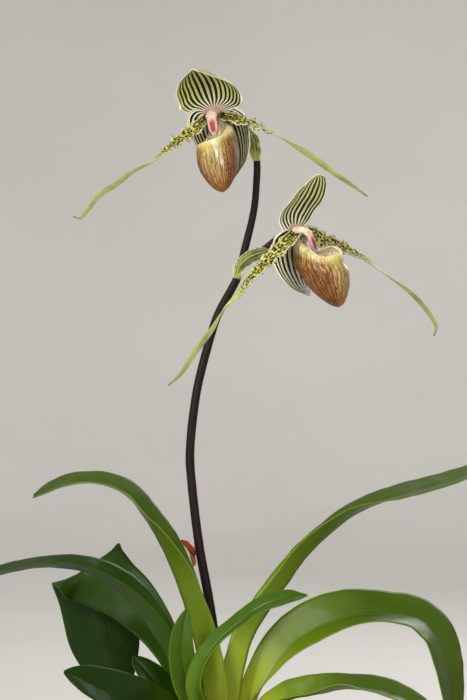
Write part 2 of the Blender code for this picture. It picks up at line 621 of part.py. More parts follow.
def main():
    clear_scene()
    materials = make_materials()
    parts = bpy.data.collections.new("slipper_orchid")
    cutters = bpy.data.collections.new("cutters")
    bpy.context.scene.collection.children.link(parts)
    bpy.context.scene.collection.children.link(cutters)
    inner_floor, inner_top = make_pot(materials, parts, cutters)
    make_bark(materials, parts, inner_floor, inner_top)
    make_crown(materials, parts, cutters)
    make_stem(materials, parts)
    make_sheath(materials, parts)
    make_leaves(materials, parts)
    make_flower("upper", UPPER_FLOWER, materials, parts)
    make_flower("lower", LOWER_FLOWER, materials, parts)


main()
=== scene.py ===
import math
import random

import bmesh
import bpy
from mathutils import Matrix, Vector, noise


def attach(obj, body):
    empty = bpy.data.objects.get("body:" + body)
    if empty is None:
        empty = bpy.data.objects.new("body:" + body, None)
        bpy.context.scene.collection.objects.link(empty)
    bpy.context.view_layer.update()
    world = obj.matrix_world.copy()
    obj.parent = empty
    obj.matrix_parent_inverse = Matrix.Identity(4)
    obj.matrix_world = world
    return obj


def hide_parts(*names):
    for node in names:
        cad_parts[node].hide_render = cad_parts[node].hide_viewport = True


# A slipper orchid with two striped flowers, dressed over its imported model.
# Lengths in the dictionaries are millimetres, with the pot's underside at z = 0 and the viewer at -Y.
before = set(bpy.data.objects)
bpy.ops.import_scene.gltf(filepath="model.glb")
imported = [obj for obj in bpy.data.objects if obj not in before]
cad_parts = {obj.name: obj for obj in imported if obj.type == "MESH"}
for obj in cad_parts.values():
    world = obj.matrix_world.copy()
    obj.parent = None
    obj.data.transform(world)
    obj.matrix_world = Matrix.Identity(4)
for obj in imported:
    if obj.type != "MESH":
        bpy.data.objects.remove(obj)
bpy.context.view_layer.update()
mm = 0.001
viewer = Vector((0, -1, 0))
print("stage: frame loaded,", len(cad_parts), "nodes")


# Colour from 0-255 screen values
def shade(red, green, blue):
    return tuple((value / 255) ** 2.2 for value in (red, green, blue)) + (1.0,)


def toned(colour, factor, lift=0):
    return tuple(value * factor + lift for value in colour)


def put(tree, kind, inputs=None, **settings):
    node = tree.nodes.new("ShaderNode" + kind)
    for key, value in settings.items():
        setattr(node, key, value)
    for key, value in (inputs or {}).items():
        if isinstance(value, bpy.types.NodeSocket):
            tree.links.new(value, node.inputs[key])
        else:
            node.inputs[key].default_value = value
    return node


# Sums and masks; each adds a node to the tree that its first value belongs to
def calc(operation, first, second=0.0, third=0.0):
    return put(first.id_data, "Math", {0: first, 1: second, 2: third}, operation=operation).outputs[0]


def times(first, second):
    return calc("MULTIPLY", first, second)


def scaled(value, factor, shift):
    return calc("MULTIPLY_ADD", value, factor, shift)


# 0 below low, 1 above high, smooth between them; low may be the larger one
def band(value, low, high):
    inputs = {0: value, 1: low, 2: high}
    return put(value.id_data, "MapRange", inputs, interpolation_type="SMOOTHSTEP").outputs[0]


# 1 close to a place, 0 when far from it
def near(value, place, far, close):
    return band(calc("ABSOLUTE", calc("SUBTRACT", value, place)), far, close)


# 0 in the middle of a piece's width, 1 at both of its edges
def fromMiddle(across):
    return calc("ABSOLUTE", scaled(across, 2.0, -1.0))


def mapVector(across, along, acrossScale, alongScale):
    inputs = {0: times(across, acrossScale), 1: times(along, alongScale)}
    return put(across.id_data, "CombineXYZ", inputs).outputs[0]


def mapGrain(across, along, acrossScale, alongScale, detail=3.0):
    vector = mapVector(across, along, acrossScale, alongScale)
    return put(across.id_data, "TexNoise", {"Vector": vector, "Scale": 1.0, "Detail": detail}).outputs[0]


def mapCells(across, along, acrossScale, alongScale, uneven=1.0):
    vector = mapVector(across, along, acrossScale, alongScale)
    cells = put(across.id_data, "TexVoronoi", {"Vector": vector, "Scale": 1.0, "Randomness": uneven},
                voronoi_dimensions="2D", feature="F1")
    return cells.outputs["Distance"]


socketNames = {"roughness": "Roughness", "specular": "Specular IOR Level", "coat": "Coat Weight",
               "coatRoughness": "Coat Roughness", "sheen": "Sheen Weight"}
skins = {}


# A material that takes its colours in layers, each through a mask
class Skin:
    def __init__(self, name, ground=None, **settings):
        material = bpy.data.materials.new(name)
        material.use_nodes = True
        skins[name] = material
        self.tree = material.node_tree
        self.shader = self.tree.nodes["Principled BSDF"]
        self.colour = shade(*ground) if ground else None
        for key, value in settings.items():
            self.shader.inputs[socketNames[key]].default_value = value

    def surface(self):
        spot = put(self.tree, "UVMap", uv_map="surfaceMap").outputs[0]
        parts = put(self.tree, "SeparateXYZ", {0: spot})
        return parts.outputs[0], parts.outputs[1]

    def bodyPlace(self):
        return put(self.tree, "TexCoord").outputs["Object"]

    def grain(self, scale, detail=2.0, stretch=None):
        vector = self.bodyPlace()
        if stretch:
            vector = put(self.tree, "Mapping", {0: vector, 3: stretch}).outputs[0]
        return put(self.tree, "TexNoise", {"Vector": vector, "Scale": scale, "Detail": detail}).outputs[0]

    def ramp(self, value, stops):
        node = put(self.tree, "ValToRGB", {0: value})
        elements = node.color_ramp.elements
        while len(elements) < len(stops):
            elements.new(0.5)
        for element, (place, colour) in zip(elements, stops):
            element.position = place
            element.color = shade(*colour)
        return node.outputs[0]

    def lay(self, colour, mask, strength=None):
        if strength is not None:
            mask = times(mask, strength)
        if isinstance(colour, tuple):
            colour = shade(*colour)
        inputs = {0: mask, 6: self.colour, 7: colour}
        self.colour = put(self.tree, "Mix", inputs, data_type="RGBA", blend_type="MIX").outputs[2]

    def done(self, height=None, strength=0.4, distance=0.0004):
        self.tree.links.new(self.colour, self.shader.inputs["Base Color"])
        if height:
            bump = put(self.tree, "Bump", {"Strength": strength, "Distance": distance, "Height": height})
            self.tree.links.new(bump.outputs[0], self.shader.inputs["Normal"])


# Leaf skins
leafTones = {
    "light": dict(gloss=0.16, base=(196, 210, 66), low=(104, 128, 24), middle=(60, 81, 9), tip=(55, 71, 8)),
    "mid": dict(gloss=0.1, base=(156, 178, 52), low=(90, 118, 26), middle=(66, 94, 16), tip=(56, 80, 14)),
    "dark": dict(gloss=0.08, base=(102, 128, 32), low=(54, 82, 14), middle=(32, 57, 5), tip=(27, 49, 4)),
}
leafLook = dict(roughness=0.32, underRoughness=0.44, coatRoughness=0.3, veins=15, veinDepth=0.15,
                marginStart=0.955, blush=(122, 72, 40))


def leafMaterial(tone, under):
    colours = leafTones[tone]
    low = colours["low"]
    gloss = colours["gloss"]
    skin = Skin(f"leafUnder_{tone}" if under else f"leafFace_{tone}",
                roughness=leafLook["underRoughness"] if under else leafLook["roughness"],
                specular=0.1 + 0.5 * gloss, coat=0.0 if under else gloss,
                coatRoughness=leafLook["coatRoughness"])
    across, along = skin.surface()
    centre = fromMiddle(across)
    skin.colour = skin.ramp(along, [(0.08, colours["base"]), (0.28, low), (0.52, colours["middle"]),
                                    (1.0, colours["tip"])])
    skin.lay(toned(low, 0.72), band(skin.grain(28.0, 3.0), 0.4, 0.7), 0.3)
    drift = times(skin.grain(60.0), 1.4)
    veins = band(calc("SINE", scaled(across, leafLook["veins"] * 2 * math.pi, drift)), 0.2, 1.0)
    fine = mapGrain(across, along, 90.0, 5.0)
    skin.lay(low, veins, 0.12)
    skin.lay(toned(colours["middle"], 0.6), band(fine, 0.45, 0.75), 0.22)
    skin.lay(toned(low, 1.15 if under else 0.62), band(centre, 0.05, 0.012), 0.5)
    skin.lay(toned(low, 1.3), band(centre, leafLook["marginStart"], 0.992), 0.35)
    if under:
        skin.lay(toned(low, 0.85, 8), 0.35)
    blush = times(band(along, 0.06, 0.0), band(skin.grain(70.0), 0.45, 0.62))
    skin.lay(leafLook["blush"], blush, 0.4)
    skin.done(scaled(veins, 0.5, times(fine, 0.6)), leafLook["veinDepth"], 0.0003)


# Sepal skins; a wider stripe starts lower on its wave
sepalLook = dict(roughness=0.46, specular=0.35, waver=1.4, denser=0.4, swell=1.4, base=(234, 228, 200),
                 beside=(238, 236, 196), blush=(222, 176, 162), depth=0.35)
sepalSkins = {
    "upperDorsalFace": dict(ground=(226, 228, 108), stripe=(16, 6, 6), margin=(250, 250, 228), count=11,
                            width=0.34, paleTo=0.3),
    "upperSynsepalFace": dict(ground=(232, 228, 166), stripe=(18, 7, 7), margin=(246, 244, 218), count=11.5,
                              width=0.32, paleTo=0.6, marginFrom=0.97),
    "lowerDorsalFace": dict(ground=(240, 240, 124), stripe=(18, 7, 7), margin=(250, 250, 228), count=6.5,
                            width=0.3, paleTo=0.55),
    "lowerSynsepalFace": dict(ground=(240, 234, 190), stripe=(20, 8, 8), margin=(250, 248, 224), count=6.5,
                              width=0.16, paleTo=0.7, marginFrom=0.96),
    "sepalBack": dict(ground=(156, 156, 90), stripe=(78, 42, 40), margin=(206, 204, 162), count=12,
                      width=0.1, paleTo=0.3, strength=0.85),
}


# Dark stripes run along the sepal, so they draw together at both ends as its edges do
def sepalMaterial(name, ground, stripe, margin, count, width, paleTo, marginFrom=0.945, strength=1.0):
    skin = Skin(name, ground, roughness=sepalLook["roughness"], specular=sepalLook["specular"])
    across, along = skin.surface()
    signed = scaled(across, 2.0, -1.0)
    centre = calc("ABSOLUTE", signed)
    skin.lay(toned(ground, 0.84), band(skin.grain(40.0), 0.35, 0.7))
    skin.lay(sepalLook["base"], band(along, paleTo, 0.0))
    waver = times(mapGrain(across, along, 6.0, 3.0, 2.0), sepalLook["waver"])
    denser = scaled(times(signed, signed), sepalLook["denser"], 1.0)
    swell = scaled(mapGrain(across, along, 9.0, 1.6, 1.0), sepalLook["swell"], sepalLook["swell"] / -2)
    wave = calc("ADD", calc("COSINE", scaled(times(signed, denser), count * math.pi, waver)), swell)
    skin.lay(sepalLook["beside"], band(wave, -0.8, -0.2), 0.75)
    inside = times(band(centre, marginFrom + 0.035, marginFrom - 0.02), band(along, 0.985, 0.94))
    skin.lay(margin, band(centre, marginFrom, marginFrom + 0.03))
    skin.lay(stripe, times(band(wave, 0.12 - width, 0.3 - width), inside), strength)
    skin.lay(sepalLook["blush"], band(along, 0.07, 0.0), 0.7)
    skin.done(scaled(wave, 0.25, mapGrain(across, along, 50.0, 12.0)), sepalLook["depth"], 0.0003)


# Petal skins: spotted as far as spotEnd along the petal, plain and paler beyond
petalLook = dict(roughness=0.5, specular=0.2, spotRows=7.0, spotSteps=52.0, uneven=0.85, stripes=5, lines=4,
                 spot=(40, 16, 14), cloud=(118, 124, 44), line=(84, 100, 36), edge=(206, 202, 154),
                 tip=(120, 76, 40))
petalSkins = {
    "upperPetalFace": dict(ground=(182, 180, 84), far=(192, 204, 122), strength=0.97, spotEnd=0.48),
    "upperPetalBack": dict(ground=(176, 176, 98), far=(198, 208, 130), strength=0.7, spotEnd=0.46),
    "lowerPetalFace": dict(ground=(190, 186, 94), far=(192, 204, 122), strength=0.97, spotEnd=0.54),
    "lowerPetalBack": dict(ground=(182, 180, 104), far=(198, 208, 130), strength=0.7, spotEnd=0.5),
}


def petalMaterial(name, ground, far, strength, spotEnd):
    skin = Skin(name, ground, roughness=petalLook["roughness"], specular=petalLook["specular"])
    across, along = skin.surface()
    skin.lay(far, band(along, 0.22, 0.5))
    skin.lay(petalLook["cloud"], band(skin.grain(90.0, 3.0), 0.42, 0.68), 0.45)
    lines = calc("COSINE", times(across, petalLook["lines"] * 2 * math.pi))
    skin.lay(petalLook["line"], times(band(lines, 0.45, 0.95), band(along, 0.36, 0.6)), 0.45)
    wander = mapGrain(across, along, 6.0, 30.0, 2.0)
    edge = times(band(scaled(wander, 0.3, fromMiddle(across)), 0.84, 1.06), band(along, 0.5, 0.34))
    cells = mapCells(across, along, petalLook["spotRows"], petalLook["spotSteps"], petalLook["uneven"])
    reach = band(scaled(wander, 0.16, along), spotEnd + 0.06, spotEnd - 0.06)
    spots = times(band(cells, 0.5, 0.38), reach)
    stripes = calc("COSINE", times(across, petalLook["stripes"] * 2 * math.pi))
    stripes = times(band(stripes, -0.1, 0.35), band(along, 0.12, 0.04))
    skin.lay(petalLook["spot"], calc("MAXIMUM", spots, stripes), strength)
    skin.lay(petalLook["edge"], edge, 0.8)
    skin.lay(petalLook["tip"], band(along, 0.965, 1.0), 0.7)
    skin.done(scaled(lines, 0.2, mapGrain(across, along, 18.0, 60.0)))


# Pouch skins; the stops run from the rim to the toe, and streak is the colour of a painted highlight down the
# front
lipLook = dict(
    roughness=0.4, veins=30, branchAcross=52.0, branchAlong=5.0, vein=(70, 16, 6), streak=(238, 228, 200),
    freckle=(110, 40, 26), freckleRows=44.0, freckleSteps=24.0,
    front=[(0.0, (222, 212, 160)), (0.12, (202, 190, 98)), (0.3, (188, 166, 94)), (0.55, (178, 148, 92)),
           (0.8, (170, 116, 46)), (1.0, (146, 88, 28))],
    sides=[(0.0, (226, 212, 162)), (0.1, (220, 202, 134)), (0.18, (176, 134, 64)), (0.38, (148, 98, 40)),
           (0.8, (136, 82, 26)), (1.0, (150, 94, 28))],
    inside=[(0.0, (254, 250, 228)), (0.2, (254, 248, 214)), (0.4, (254, 244, 186)), (0.65, (240, 214, 128)),
            (1.0, (160, 106, 46))])


# Hollow of the pouch: cream at the rim, yellow below and freckled
def lipInsideMaterial():
    skin = Skin("lipInside", roughness=lipLook["roughness"], specular=0.35)
    around, down = skin.surface()
    skin.colour = skin.ramp(down, lipLook["inside"])
    cells = mapCells(around, down, lipLook["freckleRows"], lipLook["freckleSteps"])
    skin.lay(lipLook["freckle"], times(band(cells, 0.26, 0.16), band(down, 0.06, 0.16)), 0.6)
    skin.done(skin.grain(45.0, 3.0), 0.2)


# Yellow front with a pale painted highlight streaked down it, red-brown sides, veins that run down to the toe
# and finer ones between
def lipMaterial():
    skin = Skin("lipFace", roughness=lipLook["roughness"], specular=0.4, coat=0.1, coatRoughness=0.4)
    around, down = skin.surface()
    cloud = skin.grain(55.0, 3.0)
    uneven = calc("SUBTRACT", cloud, 0.5)
    shifted = scaled(uneven, 0.35, down)
    turned = band(scaled(uneven, 0.12, fromMiddle(around)), 0.1, 0.3)
    skin.colour = skin.ramp(shifted, lipLook["front"])
    skin.lay(skin.ramp(shifted, lipLook["sides"]), turned)
    # Painted highlight: a pale streak a little off the middle of the front, fading out towards the toe,
    # stands in for the pouch's sheen
    streak = band(calc("ABSOLUTE", calc("ADD", around, scaled(down, 0.09, -0.475))), 0.03, 0.008)
    skin.lay(lipLook["streak"], times(streak, band(down, 0.62, 0.4)), 0.7)
    drift = times(mapGrain(around, down, 20.0, 5.0), 7.0)
    long = band(calc("COSINE", scaled(around, lipLook["veins"] * 2 * math.pi, drift)), 0.5, 0.78)
    branches = near(mapGrain(around, down, lipLook["branchAcross"], lipLook["branchAlong"]), 0.5, 0.05, 0.022)
    veins = calc("MAXIMUM", times(long, 0.85), times(branches, 0.92))
    reach = scaled(band(down, 0.04, 0.3), 0.75, times(turned, 0.35))
    veins = times(veins, calc("MINIMUM", reach, 0.95))
    skin.lay(lipLook["vein"], veins)
    skin.done(scaled(veins, 0.6, cloud))


# Pale hairy column with yellowish pollen masses; its shield has a pale rim around a red middle
columnLook = dict(roughness=0.5, specular=0.3, sheen=0.1, cloud=(176, 104, 92), pollen=(208, 176, 104),
                  middle=(126, 36, 36),
                  stops=[(0.0, (224, 190, 172)), (0.16, (236, 220, 198)), (0.4, (228, 200, 178)),
                         (0.6, (218, 158, 148)), (1.0, (222, 176, 156))])


def columnMaterial():
    skin = Skin("columnSkin", roughness=columnLook["roughness"], specular=columnLook["specular"],
                sheen=columnLook["sheen"])
    around, along = skin.surface()
    front = fromMiddle(around)
    skin.colour = skin.ramp(along, columnLook["stops"])
    cloud = skin.grain(420.0, 3.0)
    skin.lay(columnLook["cloud"], band(cloud, 0.48, 0.64), 0.45)
    skin.lay(columnLook["pollen"], times(near(front, 0.5, 0.14, 0.06), near(along, 0.36, 0.07, 0.03)), 0.8)
    ragged = scaled(calc("SUBTRACT", cloud, 0.5), 0.12, front)
    shield = times(times(band(ragged, 0.24, 0.08), band(along, 0.46, 0.6)), band(along, 0.92, 0.8))
    skin.lay(columnLook["middle"], shield, 0.9)
    skin.done(cloud)


# Dark hairy stalk; an ovary turns pale pink where the flower's parts join it
stalkSkins = {
    "stemSkin": dict(low=(23, 11, 9), high=(40, 21, 18)),
    "ovarySkin": dict(low=(50, 38, 42), high=(78, 66, 68), end=(222, 190, 168)),
}


def stalkMaterial(name, low, high, end=None):
    skin = Skin(name, low, roughness=0.55, specular=0.25)
    around, along = skin.surface()
    streak = mapGrain(around, along, 14.0, 26.0)
    skin.lay(high, band(streak, 0.35, 0.7))
    if end:
        skin.lay(end, band(along, 0.86, 0.97))
    skin.done(streak)


# Bracts and dry sheaths: lighter at the base, with a ragged pale edge; on the green bract the pale veins are
# also painted highlights on its crumples
bractSkins = {
    "bractSkin": dict(ground=(120, 128, 60), vein=(180, 182, 124), edge=(224, 222, 180), count=4),
    "dryBractSkin": dict(ground=(168, 72, 34), vein=(110, 38, 22), edge=(190, 110, 60), count=5),
    "sheathSkin": dict(ground=(150, 150, 78), vein=(104, 84, 46), edge=(176, 166, 110), count=6),
}


def bractMaterial(name, ground, vein, edge, count):
    skin = Skin(name, ground, roughness=0.5, specular=0.4)
    across, along = skin.surface()
    cloud = skin.grain(90.0, 3.0)
    skin.lay(toned(ground, 0.7), band(cloud, 0.4, 0.66))
    drift = times(skin.grain(120.0), 3.0)
    wave = calc("SINE", scaled(across, count * 2 * math.pi, drift))
    # Vein stripes: dark veins on the dry bract and sheaths; on the green bract they are pale veins that also
    # serve as painted highlights
    skin.lay(vein, band(wave, 0.35, 0.95), 0.6)
    skin.lay(toned(ground, 1.35), band(along, 0.35, 0.05))
    ragged = scaled(calc("SUBTRACT", cloud, 0.5), 0.5, fromMiddle(across))
    skin.lay(edge, band(ragged, 0.68, 0.98), 0.85)
    skin.done(scaled(cloud, 1.5, wave), 0.5, 0.0006)


# Skins of two clouded colours
plainSkins = {
    "barkFines": dict(first=(58, 38, 28), second=(88, 60, 42), scale=260.0, roughness=0.95, depth=0.8),
    "crownSkin": dict(first=(146, 146, 78), second=(110, 96, 54), scale=90.0, roughness=0.7, depth=0.4),
    "paleHair": dict(first=(206, 198, 172), second=(188, 174, 150), scale=400.0, roughness=0.5, depth=0.0),
    "redHair": dict(first=(84, 46, 42), second=(64, 34, 32), scale=400.0, roughness=0.5, depth=0.0),
    "wartSkin": dict(first=(50, 22, 22), second=(76, 34, 30), scale=400.0, roughness=0.4, depth=0.2),
}


def plainMaterial(name, first, second, scale, roughness, depth):
    skin = Skin(name, first, roughness=roughness)
    cloud = skin.grain(scale, 5.0)
    skin.lay(second, band(cloud, 0.35, 0.65))
    skin.done(cloud, depth, 0.0006)


# Fired clay with sand, turning rings and a little salt towards its foot
clayLook = dict(roughness=0.86, ground=(186, 112, 76), cloud=(168, 94, 62), sand=(206, 146, 108),
                salt=(212, 184, 160), saltTop=0.075, rings=(6.0, 6.0, 420.0))


def clayMaterial():
    skin = Skin("clay", clayLook["ground"], roughness=clayLook["roughness"])
    sand = skin.grain(700.0, 3.0)
    skin.lay(clayLook["cloud"], band(skin.grain(16.0, 5.0), 0.35, 0.65))
    skin.lay(clayLook["sand"], band(sand, 0.55, 0.75), 0.35)
    height = put(skin.tree, "SeparateXYZ", {0: skin.bodyPlace()}).outputs[2]
    salt = times(band(skin.grain(46.0, 8.0), 0.48, 0.72), band(height, clayLook["saltTop"], 0.0))
    skin.lay(clayLook["salt"], salt, 0.3)
    skin.done(scaled(skin.grain(1.0, 3.0, clayLook["rings"]), 0.8, times(sand, 0.5)), 0.4, 0.0006)


barkLook = dict(roughness=0.88, ground=(104, 66, 42), cloud=(142, 92, 58), layer=(62, 38, 26),
                layers=(160.0, 160.0, 420.0))


def barkMaterial():
    skin = Skin("barkSkin", barkLook["ground"], roughness=barkLook["roughness"])
    layers = skin.grain(1.0, 5.0, barkLook["layers"])
    skin.lay(barkLook["cloud"], band(skin.grain(40.0), 0.4, 0.62))
    skin.lay(barkLook["layer"], band(layers, 0.5, 0.72), 0.7)
    skin.done(layers, 0.7, 0.001)


for tone in leafTones:
    leafMaterial(tone, False)
    leafMaterial(tone, True)
for makeSkin, looks in ((sepalMaterial, sepalSkins), (petalMaterial, petalSkins), (stalkMaterial, stalkSkins),
                        (bractMaterial, bractSkins), (plainMaterial, plainSkins)):
    for name, look in looks.items():
        makeSkin(name, **look)
lipMaterial()
lipInsideMaterial()
columnMaterial()
clayMaterial()
barkMaterial()
print("stage: skins made,", len(skins))


# Curves and grids
def knotsOf(rows, size):
    knots = [0.0]
    for before, after in zip(rows, rows[1:]):
        knots.append(knots[-1] + math.dist(before[:size], after[:size]))
    return knots


# Smooth curve through rows of any number of values
def curveAt(rows, knots, place):
    last = len(rows) - 1
    i = 0
    while i < last - 1 and place > knots[i + 1]:
        i += 1
    span = knots[i + 1] - knots[i]
    u = (place - knots[i]) / span
    values = []
    for k in range(len(rows[0])):
        slopes = []
        for j in (i, i + 1):
            low = max(j - 1, 0)
            high = min(j + 1, last)
            slopes.append((rows[high][k] - rows[low][k]) / (knots[high] - knots[low]) * span)
        start = rows[i][k] * (2 * u**3 - 3 * u**2 + 1) + slopes[0] * (u**3 - 2 * u**2 + u)
        end = rows[i + 1][k] * (3 * u**2 - 2 * u**3) + slopes[1] * (u**3 - u**2)
        values.append(start + end)
    return values


def shapeAt(shape, t):
    return curveAt(shape, [row[0] for row in shape], t)[1]


def spreadAt(values, t):
    place = t * (len(values) - 1)
    i = min(int(place), len(values) - 2)
    return values[i] + (values[i + 1] - values[i]) * (place - i)


def ribbonFrame(path, knots, t, side):
    total = knots[-1]
    step = total * 0.004
    here = curveAt(path, knots, t * total)
    before = Vector(curveAt(path, knots, max(t * total - step, 0))[:3])
    after = Vector(curveAt(path, knots, min(t * total + step, total))[:3])
    tangent = (after - before).normalized()
    across = (Vector(side) - tangent * tangent.dot(Vector(side))) if side else tangent.cross(viewer)
    across.normalize()
    roll = math.radians(here[3]) if len(here) > 3 else 0.0
    across = Matrix.Rotation(roll, 3, tangent) @ across
    return Vector(here[:3]), across, across.cross(tangent), tangent


# Level unit vector in the direction of an angle
def outAt(angle):
    return Vector((math.cos(angle), math.sin(angle), 0))


def upBy(height):
    return Vector((0, 0, height))


def pointMesh(name, points, faces):
    mesh = bpy.data.meshes.new(name)
    mesh.from_pydata(points, [], faces)
    return mesh


# Grid of quads with a map of how far across and along each point lies
def gridMesh(name, columns, rows, placeOf, wrap=False, capStart=False, capEnd=False):
    ring = columns if wrap else columns + 1
    points = [placeOf(i / columns, j / rows) * mm for j in range(rows + 1) for i in range(ring)]
    faces = []
    marks = []
    for j in range(rows):
        for i in range(columns):
            a = j * ring + i
            b = j * ring + (i + 1) % ring
            faces.append((a, b, b + ring, a + ring))
            marks += [(i / columns, j / rows), ((i + 1) / columns, j / rows),
                      ((i + 1) / columns, (j + 1) / rows), (i / columns, (j + 1) / rows)]
    if capStart:
        faces.append(tuple(reversed(range(ring))))
        marks += [(0.5, 0.0)] * ring
    if capEnd:
        faces.append(tuple(range(rows * ring, (rows + 1) * ring)))
        marks += [(0.5, 1.0)] * ring
    mesh = pointMesh(name, points, faces)
    layer = mesh.uv_layers.new(name="surfaceMap")
    layer.data.foreach_set("uv", [value for mark in marks for value in mark])
    mesh.shade_smooth()
    return mesh


def weld(mesh, outward=True):
    bm = bmesh.new()
    bm.from_mesh(mesh)
    bmesh.ops.remove_doubles(bm, verts=bm.verts, dist=0.000002)
    if outward:
        bmesh.ops.recalc_face_normals(bm, faces=bm.faces)
    bm.to_mesh(mesh)
    bm.free()


def newObject(name, data):
    item = bpy.data.objects.new(name, data)
    bpy.context.scene.collection.objects.link(item)
    return item


def addPiece(name, mesh, skinNames, node=None):
    item = newObject(name, mesh)
    for skin in skinNames:
        mesh.materials.append(skins[skin])
    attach(item, "root")
    if node:
        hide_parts(node)
    return item


# One point of a blade: s runs from -1 to 1 across and t from 0 to 1 along
def bladePoint(blade, ribbon, s, t):
    middle, across, up, tangent = ribbon
    half = blade["width"] / 2 * shapeAt(blade["shape"], t)
    angle = math.radians(spreadAt(blade.get("fold", (0, 0)), t))
    keel = blade.get("keel", 0.0)
    spread = math.sqrt(s * s + keel * keel) - keel
    cup = blade.get("cup", 0.0) * min(t / blade.get("cupStart", 0.01), 1)
    rise = half * spread * math.sin(angle) + cup * half * s * s
    wave = blade.get("wave", (0, 0))
    waveEnd = blade.get("waveEnd", 1.0)
    if t < waveEnd:
        fade = math.sin(math.pi * t / waveEnd)
        turn = 2 * math.pi * wave[1] * t / waveEnd + (0.9 if s > 0 else 2.6)
        rise += wave[0] * fade * s * s * math.sin(turn)
        crinkle = blade.get("crinkle", (0, 0))
        turn = 2 * math.pi * crinkle[1] * t / waveEnd + (0.3 if s > 0 else 1.7)
        rise += crinkle[0] * fade * abs(s) ** 3 * math.sin(turn)
    rise -= blade.get("groove", 0.0) * math.exp(-(s / 0.07) ** 2) * min(1, 8 * t) * min(1, 6 * (1 - t))
    back = blade.get("sweep", (0, 0))[1 if s > 0 else 0] * half * s * s * (1 - t) ** 2
    place = middle + across * (half * s * math.cos(angle)) + up * rise + tangent * -back
    rough = blade.get("rough", 0.0)
    if rough:
        place += up * (rough * noise.noise(place * blade.get("roughScale", 0.12)))
    return place


def bladeRibbon(blade, t):
    knots = blade.setdefault("knots", knotsOf(blade["path"], 3))
    return ribbonFrame(blade["path"], knots, t, blade.get("side"))


# Share of a blade's length over which its tip thins out
thinTip = 0.06


# Build gives a blade's columns, rows, thickness and how much of that is left at its edges
def makeBlade(name, node, blade, build, skinNames, turned=None):
    columns, rows, thick, edge = build
    ribbons = {}

    def placeOf(u, v):
        if v not in ribbons:
            ribbons[v] = bladeRibbon(blade, v)
        return bladePoint(blade, ribbons[v], u * 2 - 1, v)

    mesh = gridMesh(name, columns, rows, placeOf)
    if turned:
        mesh.transform(turned)
    item = addPiece(name, mesh, skinNames, node)
    core = item.vertex_groups.new(name="core")
    ring = columns + 1
    for index in range(len(mesh.vertices)):
        s = abs((index % ring) / columns * 2 - 1)
        t = (index // ring) / rows
        core.add([index], max(0.0, 1 - s**4 - max(0, (t - 1 + thinTip) / thinTip)), "REPLACE")
    solid = item.modifiers.new("thickness", "SOLIDIFY")
    solid.thickness = thick * mm
    solid.offset = 0
    solid.vertex_group = "core"
    solid.thickness_vertex_group = edge
    solid.material_offset = 1
    solid.use_quality_normals = True
    return item


hairRadius = dict(stalk=0.05, flower=0.06)


# Thin three-sided hairs, each from its root, direction, length and radius
def makeHairs(name, roots, skin):
    points = []
    faces = []
    for place, direction, length, radius in roots:
        direction = direction.normalized()
        across = direction.orthogonal().normalized()
        up = direction.cross(across)
        first = len(points)
        for angle in (0, 2 * math.pi / 3, 4 * math.pi / 3):
            points.append((place + (across * math.cos(angle) + up * math.sin(angle)) * radius) * mm)
        points.append((place + direction * length) * mm)
        faces += [(first, first + 1, first + 3), (first + 1, first + 2, first + 3),
                  (first + 2, first, first + 3), (first, first + 2, first + 1)]
    return addPiece(name, pointMesh(name, points, faces), [skin])


# Tube along a path, with a radius for each place along it and ribs that swell and sink around it
def makeTube(name, node, skin, path, radiusOf, columns, rows, ribs=0, ribDepth=0.0, side=(0, 0, 1)):
    knots = knotsOf(path, 3)
    ribbons = {}

    def placeOf(u, v):
        if v not in ribbons:
            ribbons[v] = ribbonFrame([row[:3] for row in path], knots, v, side)
        middle, across, up, tangent = ribbons[v]
        angle = 2 * math.pi * u
        radius = radiusOf(v) * (1 - ribDepth + ribDepth * math.cos(ribs * angle + 1.5 * v))
        spot = across * math.cos(angle) - up * math.sin(angle)
        return middle + spot * (radius * (1 + 0.03 * noise.noise((middle + spot * 3) * 0.3)))

    return addPiece(name, gridMesh(name, columns, rows, placeOf, True, True, True), [skin], node)


# Hairs standing off a tube
def tubeHairs(path, radiusOf, count, seed, length, side=(0, 0, 1), lean=0.25):
    draw = random.Random(seed)
    knots = knotsOf(path, 3)
    roots = []
    for _ in range(count):
        t = draw.uniform(0.004, 0.985)
        angle = draw.uniform(0, 2 * math.pi)
        middle, across, up, tangent = ribbonFrame([row[:3] for row in path], knots, t, side)
        spot = across * math.cos(angle) - up * math.sin(angle)
        direction = spot + tangent * (lean + draw.uniform(-0.3, 0.3))
        place = middle + spot * (radiusOf(t) * 0.95)
        roots.append((place, direction, length * draw.uniform(0.6, 1.3), hairRadius["stalk"]))
    return roots


# Pot
pot = dict(height=130, topRadius=72, baseRadius=50, wall=6, floor=8, rimHeight=24, rimStep=4, footRound=2.4,
           steps=144, wallSteps=14, roughness=0.216, drainRadius=5, drainCircle=26, drains=4, drainTurn=0.37)


